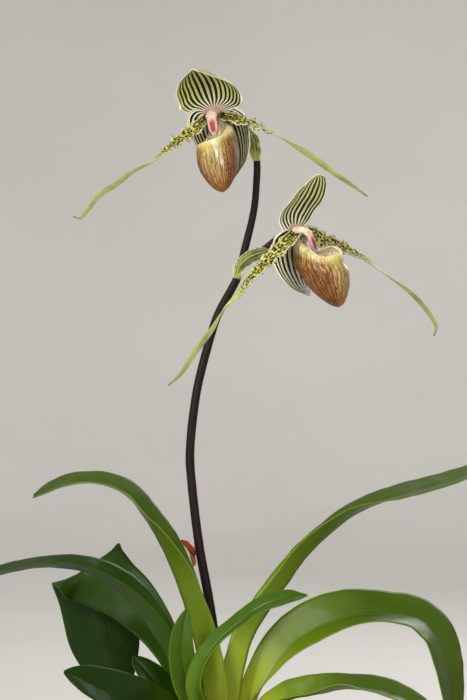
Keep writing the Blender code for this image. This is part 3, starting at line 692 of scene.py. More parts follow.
def makePot():
    base = pot["baseRadius"]
    rim = pot["topRadius"]
    top = pot["height"]
    foot = pot["footRound"]
    outer = rim - pot["rimStep"]
    rimLow = top - pot["rimHeight"]
    innerFloor = base - pot["wall"] + (outer - base) / rimLow * pot["floor"]
    innerTop = rim - pot["wall"] - 2
    profile = [(0, 0), (base - foot, 0), (base - foot / 2, foot / 6), (base - foot / 8, foot / 2),
               (base, foot)]
    for k in range(1, pot["wallSteps"]):
        share = k / pot["wallSteps"]
        profile.append((base + (outer - base) * share, foot + (rimLow - 4) * share))
    profile += [(outer, rimLow - 0.6), (outer + 0.6, rimLow), (rim - 1.8, rimLow), (rim - 1.0, rimLow + 0.7),
                (rim - 0.6, rimLow + 8), (rim - 0.2, top - 4), (rim - 0.1, top - 2), (rim - 0.8, top - 0.8),
                (rim - 2.0, top - 0.1), (innerTop + 3.0, top - 0.1), (innerTop + 1.7, top - 0.8),
                (innerTop + 1.0, top - 2), (innerTop, rimLow), (innerFloor, pot["floor"]), (0, pot["floor"])]

    def placeOf(u, v):
        radius, z = profile[round(v * (len(profile) - 1))]
        spot = outAt(2 * math.pi * u)
        worn = pot["roughness"] * abs(noise.noise(Vector((spot.x * 2.2, spot.y * 2.2, z * 0.03))))
        return spot * max(radius - (worn if 3 < z < top - 3 else 0), 0) + upBy(z)

    mesh = gridMesh("clayPot", pot["steps"], len(profile) - 1, placeOf, True)
    weld(mesh)
    item = addPiece("clayPot", mesh, ["clay"], "pot")
    for i in range(pot["drains"]):
        angle = 2 * math.pi * (i + pot["drainTurn"]) / pot["drains"]
        bm = bmesh.new()
        bmesh.ops.create_cone(bm, cap_ends=True, segments=32, radius1=pot["drainRadius"] * mm,
                              radius2=pot["drainRadius"] * mm, depth=0.03)
        toolMesh = bpy.data.meshes.new("drain")
        bm.to_mesh(toolMesh)
        bm.free()
        tool = newObject(f"drain_{i + 1}", toolMesh)
        tool.location = outAt(angle) * (pot["drainCircle"] * mm)
        modifier = item.modifiers.new("drain", "BOOLEAN")
        modifier.solver = "EXACT"
        modifier.object = tool
        bpy.context.view_layer.update()
        shaped = bpy.data.meshes.new_from_object(item.evaluated_get(bpy.context.evaluated_depsgraph_get()))
        item.modifiers.clear()
        item.data = shaped
        bpy.data.objects.remove(tool, do_unlink=True)
    item.data.name = "clayPot"
    return innerTop


innerTop = makePot()
print("stage: pot turned")

# Bark: the bed's rows go out along its floor, up the wall, in over its top and down the hole for the crown
bark = dict(top=112.5, floor=8.4, floorRadius=46, wallGap=1.4, columns=96, rows=50, floorTo=0.08, wallTo=0.3,
            topTo=0.9, holeTo=0.97, holeIn=3, holeLow=97, holeMiddle=104, sag=1.5, uneven=2.2,
            chips=210, seed=17, longest=(9, 19), wide=(5, 10), thick=(2.4, 5.0), rest=113.4, rise=4.2,
            tilt=0.5, goldenTurn=2.39996, rounded=0.2, bent=0.42, wear=0.35)
crown = dict(centre=(-2, -2), halfX=33, halfY=22, bottom=96, top=122.7, columns=64)


def crownRing(angle, grow):
    return Vector((crown["centre"][0] + (crown["halfX"] + grow) * math.cos(angle),
                   crown["centre"][1] + (crown["halfY"] + grow) * math.sin(angle), 0))


# Unit block whose six sides are each split into a small grid
def blockGrid(cuts):
    bm = bmesh.new()
    bmesh.ops.create_cube(bm, size=1.0)
    bmesh.ops.subdivide_edges(bm, edges=bm.edges[:], cuts=cuts, use_grid_fill=True)
    bm.verts.index_update()
    points = [vertex.co.copy() for vertex in bm.verts]
    faces = [tuple(vertex.index for vertex in face.verts) for face in bm.faces]
    bm.free()
    return points, faces


def makeBark():
    wall = innerTop - bark["wallGap"]
    low = bark["floorRadius"]
    floorTo, wallTo, topTo = bark["floorTo"], bark["wallTo"], bark["topTo"]

    def placeOf(u, v):
        angle = 2 * math.pi * u
        spot = outAt(angle)
        if v < floorTo:
            return spot * (low - 40 * (floorTo - v) / floorTo) + upBy(bark["floor"])
        if v < wallTo:
            share = (v - floorTo) / (wallTo - floorTo)
            height = bark["floor"] + (bark["top"] - bark["floor"]) * share
            return spot * (low + (wall - low) * share) + upBy(height)
        if v > topTo:
            height = bark["holeLow"] if v > bark["holeTo"] else bark["holeMiddle"]
            return crownRing(angle, -bark["holeIn"]) + upBy(height)
        share = min((v - wallTo) / (topTo - wallTo), 1)
        place = (spot * wall).lerp(crownRing(angle, 0.6), share)
        return place + upBy(bark["top"] - bark["sag"] + bark["uneven"] * noise.noise(place * 0.11))

    base = gridMesh("barkBed", bark["columns"], bark["rows"], placeOf, True, True, True)
    points = [vertex.co.copy() for vertex in base.vertices]
    faces = [tuple(face.vertices) for face in base.polygons]
    bedFaces = len(faces)
    block, blockFaces = blockGrid(3)
    draw = random.Random(bark["seed"])
    noise.seed_set(bark["seed"])  # without it the chips change from run to run
    for i in range(bark["chips"]):
        share = math.sqrt((i + 0.5) / bark["chips"])
        angle = i * bark["goldenTurn"] + draw.uniform(-0.1, 0.1)
        size = [draw.uniform(*bark["longest"]), draw.uniform(*bark["wide"]), draw.uniform(*bark["thick"])]
        edge = innerTop - 2.5 - size[0] * 0.5
        place = crownRing(angle, 1.5 + size[0] * 0.35)
        place = place.lerp(outAt(angle) * edge, share)
        place.z = bark["rest"] + draw.uniform(-0.2, 0.2) + (i % 5) * bark["rise"] / 5
        turn = (Matrix.Rotation(draw.uniform(0, 2 * math.pi), 3, "Z")
                @ Matrix.Rotation(draw.uniform(-bark["tilt"], bark["tilt"]), 3, "X")
                @ Matrix.Rotation(draw.uniform(-bark["tilt"], bark["tilt"]), 3, "Y"))
        first = len(points)
        for corner in block:
            pull = 1 - bark["rounded"] * abs(corner.x * corner.y * 4) ** 3
            local = Vector((corner.x * size[0] * pull, corner.y * size[1] * pull, corner.z * size[2]))
            local += noise.noise_vector(corner * 1.7 + Vector((i * 3.1, 0, 0))) * (size[2] * bark["bent"])
            points.append((turn @ local + place) * mm)
        faces += [tuple(first + index for index in face) for face in blockFaces]
    mesh = pointMesh("barkChips", points, faces)
    mesh.polygons.foreach_set("material_index", [1 if i < bedFaces else 0 for i in range(len(faces))])
    mesh.shade_flat()
    item = addPiece("barkChips", mesh, ["barkSkin", "barkFines"], "bark")
    bevel = item.modifiers.new("worn", "BEVEL")
    bevel.width = bark["wear"] * mm
    bevel.segments = 1
    bevel.limit_method = "ANGLE"
    bevel.angle_limit = 0.7


makeBark()
print("stage: bark laid")


# Crown with short dry sheaths around the leaf bases
def makeCrown():
    steps = [(0.0, -6), (0.1, -4), (0.45, -2.6), (0.8, -2), (0.92, -3), (1.0, -6)]

    def placeOf(u, v):
        angle = 2 * math.pi * u
        if v >= 0.999:
            return crownRing(angle, -14) + upBy(crown["top"] - 0.4)
        place = v / 0.9 if v < 0.9 else 1.0
        grow = curveAt(steps, [row[0] for row in steps], min(place, 1))[1]
        spot = crownRing(angle, grow - (4 if v >= 0.9 else 0))
        z = crown["bottom"] + (crown["top"] - crown["bottom"]) * place
        fold = 0.8 * math.sin(9 * angle + 0.6 * math.sin(3 * angle)) * min(1, place * 2)
        spot += (spot - Vector((*crown["centre"], 0))).normalized() * (fold - 0.8)
        return spot + upBy(z)

    mesh = gridMesh("crownStock", crown["columns"], 20, placeOf, True, True, True)
    addPiece("crownStock", mesh, ["crownSkin"], "crown")


sheaths = dict(width=25, wider=(0.8, 1.1), height=27, taller=(0.55, 1.0), foot=108, flare=10, sunk=2.2,
               outBy=(1.0, 3.0), count=9, seed=6, turn=0.2, build=(10, 16, 0.8, 0.5),
               shape=[(0, 0.9), (0.35, 1.0), (0.7, 0.72), (0.92, 0.3), (1, 0.08)])


def makeSheaths():
    foot = sheaths["foot"]
    bend = foot + sheaths["flare"]
    draw = random.Random(sheaths["seed"])
    for k in range(sheaths["count"]):
        angle = 2 * math.pi * (k + 0.25 * draw.random()) / sheaths["count"] + sheaths["turn"]
        low = crownRing(angle, -sheaths["sunk"])
        high = crownRing(angle, draw.uniform(*sheaths["outBy"]))
        tall = sheaths["height"] * draw.uniform(*sheaths["taller"])
        out = (high - Vector((*crown["centre"], 0))).normalized()
        path = [(low.x, low.y, foot), (low.x + out.x, low.y + out.y, bend),
                (high.x, high.y, bend + tall / 2), (high.x + out.x * 2, high.y + out.y * 2, bend + tall - 2)]
        width = sheaths["width"] * draw.uniform(*sheaths["wider"])
        blade = dict(path=path, width=width, shape=sheaths["shape"], fold=(10, 10), cup=-0.35,
                     side=(-out.y, out.x, 0), wave=(0.5, 1.3), rough=0.8)
        makeBlade(f"baseSheath_{k + 1}", None, blade, sheaths["build"], ["sheathSkin", "sheathSkin"])


makeCrown()
makeSheaths()
print("stage: crown and sheaths made")

# Stem: path rows are x, y, z and radius
stem = dict(columns=20, rows=170, hairs=5200, hairLength=0.85, seed=3, side=(1, 0, 0), path=[
    (-2, 9, 112, 3.3), (-2, 9, 130, 3.3), (-5, 10, 185, 3.2), (-9, 11, 213, 3.1), (-15, 12, 246, 3.0),
    (-20, 12, 288, 2.9), (-21, 12, 309, 2.9), (-17, 12, 345, 2.8), (-11, 12, 371, 2.8), (-3, 12, 397, 2.7),
    (6, 12, 414, 2.7), (10, 12, 422, 2.6), (15, 12, 441, 2.5), (21, 15, 467, 2.3), (23, 19, 491, 2.3),
    (23, 21, 501, 2.3)])


def stemRadius(t):
    knots = stem.setdefault("knots", knotsOf(stem["path"], 3))
    return curveAt(stem["path"], knots, t * knots[-1])[3]


makeTube("flowerStem", "stem", "stemSkin", stem["path"], stemRadius, stem["columns"], stem["rows"],
         side=stem["side"])
stemHairs = tubeHairs(stem["path"], stemRadius, stem["hairs"], stem["seed"], stem["hairLength"], stem["side"])
makeHairs("stemHairs", stemHairs, "redHair")
print("stage: stem made")

# Leaves: path rows are x, y, z and roll
leafBase = 120.0
leafShape = [(0, 0.5), (0.12, 0.66), (0.3, 0.94), (0.5, 1.0), (0.7, 0.92), (0.86, 0.66), (0.95, 0.36),
             (1, 0.06)]
leaves = {
    "leaf_upper_left": dict(
        tone="light", width=28, fold=(70, 74, 76, 76, 68, 44, 26, 18, 14, 12), wave=(0.6, 2.2),
        shape=[(0, 0.9), (0.12, 1.15), (0.26, 1.16), (0.4, 0.98), (0.55, 1.0), (0.7, 0.95), (0.86, 0.86),
               (0.94, 0.74), (0.98, 0.52), (1, 0.2)],
        path=[(-10, -7.5, leafBase, 90), (-10, -7.5, 132, 90), (-12, -7.5, 160, 90), (-18, -7, 190, 90),
              (-26.5, -7, 219, 90), (-38, -5, 246.5, 82), (-50, -2, 266.5, 72), (-62, 1, 281, 70),
              (-80, 5, 288, 73), (-101, 10, 287, 74), (-124, 15, 278, 72)]),
    "leaf_left": dict(
        tone="dark", width=32, fold=(58, 64, 56, 42, 28, 18, 14, 12), wave=(0.7, 2.4),
        path=[(-19, -1, leafBase, 90), (-19, -1, 131, 90), (-23, -4, 148, 88), (-29, -8, 163, 86),
              (-39, -10, 184, 84), (-53, -12, 206, 82), (-67, -14, 221, 82), (-85, -16, 232, 84),
              (-107, -18, 236, 86), (-132, -20, 234, 86), (-158, -20, 226, 82), (-178, -20, 212, 76)]),
    "leaf_creased": dict(
        tone="dark", width=54, fold=(30, 46, 44, 20, -10, -12, 0, 4, 8), wave=(0.3, 1.6),
        side=(0.84, 0.0, 0.54), undersideFirst=True,
        shape=[(0, 0.24), (0.16, 0.42), (0.34, 0.54), (0.48, 0.68), (0.56, 0.85), (0.61, 1.0), (0.7, 0.9),
               (0.85, 0.86), (1, 0.3)],
        path=[(-13, 12, leafBase, 0), (-13, 12, 130, 0), (-20, 16, 146, 0), (-30, 22, 168, 0),
              (-43.5, 30, 189.5, 0), (-61, 38, 208, 0), (-76, 43, 218.5, 0), (-86.5, 45.5, 226, 0),
              (-90, 49, 228, 0), (-90, 52.5, 223.5, 0), (-86.5, 53.5, 207, 0), (-82, 53, 188, 0),
              (-76.5, 52, 166, 0), (-70, 50, 140, 0)]),
    "leaf_small_upright": dict(
        tone="mid", width=19, fold=(40, 30, 22, 14), wave=(0.3, 1.5),
        path=[(-12, -14, leafBase, 50), (-12, -14, 129, 44), (-17, -20, 146, 24), (-23, -24, 163, 8),
              (-25.5, -27, 183, 0), (-25, -27, 196, 0), (-22, -26, 210, 0)]),
    "leaf_lower_left": dict(
        tone="dark", width=34, fold=(45, 30, 18, 10), wave=(0.9, 2.2),
        path=[(-21, -13, leafBase, 90), (-21, -13, 128, 84), (-33, -27, 139, 56), (-48, -49, 150, 46),
              (-62, -67, 160, 46), (-78, -80, 170, 46), (-95, -92, 180, 46)]),
    "leaf_short_shaded": dict(
        tone="dark", width=24, fold=(50, 38, 26, 14), wave=(0.5, 1.6),
        path=[(-28, -2, leafBase, 90), (-28, -2, 128, 84), (-33, -1, 142, 66), (-41, 1, 154, 54),
              (-50, 2, 165, 46), (-58, 3, 175, 42)]),
    "leaf_slender_right": dict(
        tone="mid", width=17, fold=(50, 34, 20, 14), wave=(0.5, 2.0),
        shape=[(0, 0.5), (0.2, 0.8), (0.5, 1.0), (0.8, 0.96), (0.93, 0.7), (1, 0.1)],
        path=[(-1, -18, leafBase, 10), (-1, -18, 128, 6), (-9, -29, 144, -16), (-15, -37, 161, -40),
              (-12, -40, 175, -56), (-5, -41, 187, -62), (6, -41, 198, -64), (24, -43, 212, -62),
              (40, -43, 218, -56), (54, -41, 220, -56)]),
    "leaf_upper_right": dict(
        tone="light", width=33, fold=(70, 76, 74, 58, 44, 32, 12, 8, 8, 8), wave=(0.8, 2.4),
        shape=[(0, 0.64), (0.1, 0.86), (0.22, 0.84), (0.4, 0.76), (0.55, 0.82), (0.7, 0.94), (0.86, 0.88),
               (0.95, 0.6), (1, 0.1)],
        path=[(9, 1.5, leafBase, -90), (9, 1.5, 132, -90), (11, 0.5, 150, -90), (14, 2, 170, -90),
              (20, 6, 188, -90), (31, 9, 206, -90), (43, 13, 223, -90), (56, 17, 240, -90),
              (71, 20, 254, -88), (89, 23, 267, -84), (111, 26, 276, -78), (137, 29, 283, -78),
              (163, 31, 291, -78), (188, 32, 301, -76), (210, 32, 309, -72)]),
    "leaf_arching_right": dict(
        tone="light", width=40, fold=(56, 44, 36, 30, 20, 12, 8, 8), wave=(0.9, 2.2),
        path=[(18, 5, leafBase, -90), (18, 5, 130, -84), (22, 8, 146, -60), (30, 11, 161, -46),
              (44, 18, 178, -42), (62, 24, 189.5, -44), (85, 28, 197, -54), (109, 28, 199, -62),
              (128, 24, 197, -60), (140, 18, 187, -54), (146, 10, 170, -50), (149, 2, 148, -48),
              (150, -6, 124, -46)]),
    "leaf_lower_right": dict(
        tone="light", width=28, fold=(52, 34, 20, 12), wave=(0.7, 2.4),
        path=[(20, -9, leafBase, -90), (20, -9, 128, -86), (28, -14, 142, -78), (42, -20, 151, -72),
              (60, -28, 156, -72), (78, -36, 161, -84), (95, -43, 161, -76), (112, -49, 157, -70),
              (127, -54, 149, -64), (140, -58, 136, -60)]),
}
leafBlade = dict(shape=leafShape, keel=0.05, groove=0.5, rough=0.5)
leafBuild = (18, 96, 1.4, 0.4)


def makeLeaves():
    for name, leaf in leaves.items():
        sides = ["leafFace_" + leaf["tone"], "leafUnder_" + leaf["tone"]]
        if "undersideFirst" in leaf:
            sides.reverse()
        makeBlade(name + "_blade", name, dict(leafBlade, **leaf), leafBuild, sides)


makeLeaves()
dryBract = dict(
    width=11, fold=(30, 30, 20), wave=(0.6, 2.5), keel=0.1, build=(12, 24, 0.7, 0.5),
    path=[(-18.8, 10, 233, 75), (-19.9, 9.2, 237, 75), (-21.8, 8, 243, 70), (-27, 6, 250, 60)],
    shape=[(0, 0.42), (0.3, 0.9), (0.55, 1.0), (0.8, 0.72), (1, 0.22)])
makeBlade("stemDryBract", "sheath_bract", dryBract, dryBract["build"],
          ["dryBractSkin", "dryBractSkin"])
print("stage: leaves made,", len(leaves))

# Flowers: sepals and the pouch's rim are in the flower's own frame, petals, ovary and bract in the plant's
petalShape = [(0, 0.66), (0.05, 0.9), (0.14, 1.0), (0.23, 0.92), (0.32, 0.72), (0.42, 0.5), (0.6, 0.46),
              (0.85, 0.4), (0.95, 0.3), (1, 0.12)]
pointedShape = [(0, 0.24), (0.05, 0.46), (0.12, 0.76), (0.22, 0.96), (0.36, 1.0), (0.55, 0.93), (0.74, 0.7),
                (0.9, 0.36), (1, 0.06)]
roundShape = [(0, 0.24), (0.05, 0.46), (0.12, 0.64), (0.22, 0.8), (0.36, 0.96), (0.55, 1.04), (0.74, 0.88),
              (0.88, 0.54), (0.96, 0.26), (1, 0.08)]
synsepalShape = [(0, 0.26), (0.08, 0.66), (0.2, 0.95), (0.34, 1.0), (0.58, 0.86), (0.8, 0.55), (0.93, 0.26),
                 (1, 0.07)]
bractShape = [(0, 0.42), (0.25, 0.86), (0.5, 1.0), (0.68, 1.02), (0.84, 0.66), (1, 0.14)]
flowers = {
    "upper": dict(
        seed=40, place=(-5, -18, 527), turn=dict(Z=-12, X=10, Y=-12),
        dorsal=dict(width=42, cup=0.5, side=(0.98, 0, -0.13), sweep=(0.6, 0.6), shape=pointedShape,
                    path=[(0, 2.0, 2.7), (0.8, 3, 9), (1.6, -1, 18), (1.6, -14, 26.5), (0.4, -32, 29)]),
        synsepal=dict(width=38, cup=0.36, sweep=(0.54, 1.2),
                      path=[(0, 2.0, -2.7), (1, 4, -13), (2.5, 3, -26), (4, -3, -37), (5, -11, -43.5)]),
        petals=dict(
            left=[(-8.6, -19.2, 523.8, 42), (-17, -20.5, 515.4, 44), (-25, -22, 509.8, 48),
                  (-37, -26, 500, 62), (-44, -30, 493.8, 84), (-57, -32, 487, 112), (-66, -33, 480, 122),
                  (-78, -33, 472, 124), (-86, -32, 462, 120), (-90, -32, 458, 112), (-94, -32, 459, 104)],
            right=[(-1.6, -20.6, 524.4, -44), (7, -24.4, 521.8, -50), (14, -26.8, 519.4, -56),
                   (22, -23.2, 517.6, -60), (31, -13, 514.8, -66), (41, -5, 510.2, -92), (59, 2, 500, -134),
                   (76, 6, 488, -118), (86, 8, 481.5, -112), (95, 9, 475, -104)]),
        rimLeft=(-16, -16.4, -17.2, -18.4, -18.6, -18, -15.5, -9.5, -3.2),
        rimRight=(-16, -15.6, -14.8, -13.8, -13.2, -12, -9.6, -5.8, -3.2),
        ovary=[(23.1, 20.9, 499.6), (22, 19, 512), (15, 13, 521), (5, 1, 527), (-2.6, -10, 527.6),
               (-5.1, -18.3, 527.1)],
        bract=dict(width=11, path=[(22.3, 16.1, 499, 180), (21.8, 15, 506, 180), (20.5, 12.4, 512, 180),
                                   (18, 8.8, 518, 180)])),
    "lower": dict(
        seed=50, place=(48, -14, 451), turn=dict(Z=50, X=0, Y=-8),
        dorsal=dict(width=29, cup=0.2, side=(0.93, -0.3, 0.24), sweep=(1.1, 0.2), shape=roundShape,
                    path=[(0, 1.8, 2.9), (2.6, 2.2, 11.3), (6.8, -4.1, 22), (6.9, -10.7, 30.5),
                          (3.6, -17, 35)]),
        synsepal=dict(width=36, cup=-0.04, sweep=(0.6, 0.9),
                      path=[(0, 2.2, -2.8), (0, 5.8, -12), (0, 5.4, -24), (0, 1, -35), (0, -6, -42)]),
        petals=dict(
            left=[(47.1, -18.9, 449.2, 24), (40.5, -31.2, 441.6, 40), (32.5, -39, 433.6, 42),
                  (18, -50, 419, 42), (10, -56, 408, 54), (2, -62, 400, 84), (-5, -68, 388, 118),
                  (-14, -74, 376, 130), (-20, -77, 367, 128), (-25, -80, 359.5, 120), (-32, -82, 353, 108)],
            right=[(51.5, -11.8, 450.2, -12), (58, -5.6, 449.2, -24), (66, 2, 445.5, -34), (76, 12, 443, -38),
                   (86, 20, 439, -44), (95, 28, 435, -56), (112, 40, 423, -88), (127, 50, 413, -114),
                   (137, 56, 403, -120), (145, 60, 391, -116), (144, 62, 384, -108)]),
        rimLeft=(-16, -16.2, -16.6, -16, -12.5, -9, -5.5, -4, -3.2),
        rimRight=(-16, -15, -13.4, -12, -13, -15, -14, -8, -3.2),
        ovary=[(16.9, 10.4, 433.4), (23.6, 7.8, 437.6), (31, 3.5, 443.4), (38.5, -4.5, 448.6),
               (44, -10.6, 450.8), (48.8, -14.7, 451)],
        bract=dict(width=11.5, path=[(9.6, 8.0, 421.5, 180), (11.4, 6.6, 428.5, 180), (16.4, 5.4, 434, 180),
                                     (23, 2.8, 437.2, 180), (30, -2, 438.6, 180)])),
}
# What both flowers' blades share, besides their own rows above
dorsalBlade = dict(cupStart=0.25, wave=(0.5, 1.5), rough=0.5)
synsepalBlade = dict(dorsalBlade, cupStart=0.5, side=(-1, 0, 0), shape=synsepalShape)
petalBlade = dict(width=12, shape=petalShape, wave=(1.3, 5), waveEnd=0.38, crinkle=(0.5, 17),
                  fold=(12, 8, 4, 2), keel=0.08)
bractBlade = dict(shape=bractShape, fold=(20, 42, 44, 18), keel=0.12, crinkle=(2.1, 4.6), wave=(1.4, 1.9),
                  rough=2.6, roughScale=0.3, groove=1.0)
sepalBuild = (40, 48, 0.9, 0.4)
petalBuild = (14, 210, 0.8, 0.5)
bractBuild = (20, 36, 0.8, 0.5)
# Pouch: level rings below the rim as centre y, z, half width and half depth
lip = dict(
    turnIn=0.36, turnRise=1.2, thick=0.9, ridges=30, ridgeDepth=0.16, columns=72, rows=64,
    rimIn=(0.9, 1.4), belowRimIn=(0.2, 0.3),
    rings=[(-16.0, -21.5, 13.1, 17.5), (-19.2, -26.5, 13.2, 17.0), (-21.4, -32.0, 12.8, 15.2),
           (-23.0, -37.0, 11.4, 13.0), (-24.7, -41.5, 9.2, 10.2), (-26.3, -45.2, 6.6, 7.2),
           (-27.7, -48.2, 3.8, 3.9)],
    toe=(0, -28.6, -50))
# Column: rings as centre y, z, half width, half depth and tilt
column = dict(
    rings=[(-1.4, -0.4, 3.1, 2.9, 90), (-4.5, 0.0, 3.0, 2.7, 84), (-7.6, -0.7, 3.0, 2.4, 66),
           (-10.0, -3.0, 3.0, 1.9, 42), (-11.6, -6.2, 3.3, 1.5, 26), (-12.8, -9.6, 3.2, 1.2, 18),
           (-13.4, -12.4, 2.3, 0.9, 14), (-13.9, -14.6, 1.1, 0.6, 12)],
    columns=28, rows=36, anther=0.4, antherAt=0.36, antherReach=0.07, hairs=420, hairLength=1.3,
    hairsAlong=(0.3, 0.97), hairsAside=(0.19, 0.31))
ovary = dict(shape=[(0, 1.5), (0.12, 1.8), (0.45, 2.0), (0.75, 2.1), (0.9, 2.7), (1, 3.3)],
             columns=36, rows=44, ribs=6, ribDepth=0.07, hairs=900, hairLength=0.8)
warts = dict(count=9, start=0.035, end=0.33, at=0.97, radius=(0.4, 0.65), hairs=4, hairLength=1.5)
sepalHairs = dict(dorsal=170, synsepal=150, start=0.03, end=0.97, length=(0.4, 0.9))


# Control points down one side of the pouch, from its turned-in lobe to its toe
def lipMeridian(angle, flower):
    y, z, halfX, halfY = lip["rings"][0]
    turn = abs(angle) / math.pi
    levels = flower["rimRight"] if angle > 0 else flower["rimLeft"]
    level = curveAt([(value,) for value in levels], range(len(levels)), turn * (len(levels) - 1))[0]
    lobe = math.sin(math.pi * turn) ** 2

    def spot(halfWide, halfDeep, height):
        return [halfWide * math.sin(angle), y - halfDeep * math.cos(angle), height]

    inX, inY = lip["rimIn"]
    rim = spot(halfX - inX, halfY - inY, level)
    fold = spot(halfX - inX, halfY - inY, level + lip["turnRise"] * lobe - (1 - lobe))
    fold[0] *= 1 - lip["turnIn"] * lobe
    fold[1] += (y - fold[1]) * (0.1 + 0.1 * lobe)
    inX, inY = lip["belowRimIn"]
    rows = [fold, rim, spot(halfX - inX, halfY - inY, (level + z) / 2)]
    for y, z, halfX, halfY in lip["rings"]:
        rows.append(spot(halfX, halfY, z))
    rows.append(list(lip["toe"]))
    return rows


def makeLip(prefix, flower, turned):
    lines = {}

    def placeOf(u, v):
        if u not in lines:
            rows = lipMeridian(2 * math.pi * (0.5 - u), flower)
            lines[u] = (rows, knotsOf(rows, 3))
        rows, knots = lines[u]
        place = Vector(curveAt(rows, knots, v * knots[-1]))
        turn = 2 * math.pi * lip["ridges"] * u + 3 * noise.noise(place * 0.2)
        ridge = lip["ridgeDepth"] * math.sin(turn) * math.sin(math.pi * v)
        return place + Vector((place.x, place.y + 20, 0)).normalized() * ridge

    name = f"{prefix}Pouch"
    mesh = gridMesh(name, lip["columns"], lip["rows"], placeOf, True)
    weld(mesh, False)
    mesh.transform(turned)
    item = addPiece(name, mesh, ["lipFace", "lipInside"], f"{prefix}_lip")
    shell = item.modifiers.new("thickness", "SOLIDIFY")
    shell.thickness = lip["thick"] * mm
    shell.offset = -1
    shell.material_offset = 1


def columnPoint(u, v):
    rows = column["rings"]
    y, z, halfX, halfY, tilt = curveAt(rows, range(len(rows)), v * (len(rows) - 1))
    angle = 2 * math.pi * (0.5 - u)
    lean = math.radians(tilt)
    out = halfY * math.cos(angle)
    bulge = column["anther"] * math.exp(-((v - column["antherAt"]) / column["antherReach"]) ** 2)
    reach = halfX * math.sin(angle) * (1 + bulge * abs(math.sin(angle)) ** 3)
    return Vector((reach, y - out * math.cos(lean), z + out * math.sin(lean)))


def makeColumn(prefix, turned, seed):
    mesh = gridMesh(f"{prefix}Column", column["columns"], column["rows"], columnPoint, True, True, True)
    weld(mesh)
    mesh.transform(turned)
    addPiece(f"{prefix}Column", mesh, ["columnSkin"], f"{prefix}_column")
    draw = random.Random(seed)
    roots = []
    for _ in range(column["hairs"]):
        v = draw.uniform(*column["hairsAlong"])
        u = 0.5 + draw.choice((-1, 1)) * draw.uniform(*column["hairsAside"])
        spot = columnPoint(u, v)
        middle = (columnPoint(0.25, v) + columnPoint(0.75, v)) / 2
        direction = (spot - middle).normalized() + Vector((0, -0.3, draw.uniform(-0.5, 0.3)))
        place = turned @ (spot * mm) / mm
        length = column["hairLength"] * draw.uniform(0.5, 1.1)
        roots.append((place, turned.to_3x3() @ direction, length, hairRadius["flower"]))
    makeHairs(f"{prefix}ColumnHairs", roots, "redHair")


# Dark warts with hairs along both margins of a petal's wavy part
def petalWarts(petal, draw):
    spots = []
    for s in (-warts["at"], warts["at"]):
        for k in range(warts["count"]):
            share = (k + draw.uniform(0.1, 0.9)) / warts["count"]
            t = warts["start"] + (warts["end"] - warts["start"]) * share
            ribbon = bladeRibbon(petal, t)
            place = bladePoint(petal, ribbon, s, t)
            spots.append((place, ribbon[1] * s, ribbon[2], draw.uniform(*warts["radius"])))
    return spots


def makeWarts(prefix, spots, draw):
    bm = bmesh.new()
    roots = []
    for place, out, up, radius in spots:
        matrix = Matrix.Translation(place * mm)
        bmesh.ops.create_icosphere(bm, subdivisions=1, radius=radius * mm, matrix=matrix)
        for _ in range(warts["hairs"]):
            direction = out + up * draw.uniform(-0.8, 0.8)
            direction += Vector((draw.uniform(-0.4, 0.4), 0, draw.uniform(-0.4, 0.4)))
            length = warts["hairLength"] * draw.uniform(0.7, 1.3)
            roots.append((place, direction, length, hairRadius["flower"]))
    mesh = bpy.data.meshes.new(f"{prefix}PetalWarts")
    bm.to_mesh(mesh)
    bm.free()
    mesh.shade_smooth()
    addPiece(f"{prefix}PetalWarts", mesh, ["wartSkin"])
    makeHairs(f"{prefix}PetalHairs", roots, "redHair")


# Short pale hairs along both edges of a sepal
def edgeHairs(blade, turned, count, draw):
    roots = []
    for s in (-1, 1):
        for k in range(count):
            share = (k + draw.random()) / count
            t = sepalHairs["start"] + (sepalHairs["end"] - sepalHairs["start"]) * share
            ribbon = bladeRibbon(blade, t)
            place = turned @ (bladePoint(blade, ribbon, s, t) * mm) / mm
            direction = ribbon[1] * s + ribbon[2] * draw.uniform(-0.4, 0.4) + ribbon[3] * 0.3
            length = draw.uniform(*sepalHairs["length"])
            roots.append((place, turned.to_3x3() @ direction, length, hairRadius["flower"]))
    return roots


def makeSepals(prefix, flower, turned, draw):
    dorsal = dict(dorsalBlade, **flower["dorsal"])
    synsepal = dict(synsepalBlade, **flower["synsepal"])
    makeBlade(f"{prefix}DorsalSepal", f"{prefix}_dorsal_sepal", dorsal, sepalBuild,
              [prefix + "DorsalFace", "sepalBack"], turned)
    makeBlade(f"{prefix}LowerSepal", f"{prefix}_synsepal", synsepal, sepalBuild,
              [prefix + "SynsepalFace", "sepalBack"], turned)
    roots = edgeHairs(dorsal, turned, sepalHairs["dorsal"], draw)
    roots += edgeHairs(synsepal, turned, sepalHairs["synsepal"], draw)
    makeHairs(f"{prefix}SepalHairs", roots, "paleHair")


def makePetals(prefix, flower, draw):
    spots = []
    for side, path in flower["petals"].items():
        petal = dict(petalBlade, path=path)
        makeBlade(f"{prefix}Petal_{side}", f"{prefix}_petal_{side}", petal, petalBuild,
                  [prefix + "PetalFace", prefix + "PetalBack"])
        spots += petalWarts(petal, draw)
    makeWarts(prefix, spots, draw)


def ovaryRadius(t):
    return shapeAt(ovary["shape"], t)


def makeOvary(prefix, path, seed):
    makeTube(f"{prefix}Ovary", f"{prefix}_ovary", "ovarySkin", path, ovaryRadius, ovary["columns"],
             ovary["rows"], ovary["ribs"], ovary["ribDepth"])
    roots = tubeHairs(path, ovaryRadius, ovary["hairs"], seed, ovary["hairLength"])
    makeHairs(f"{prefix}OvaryHairs", roots, "redHair")


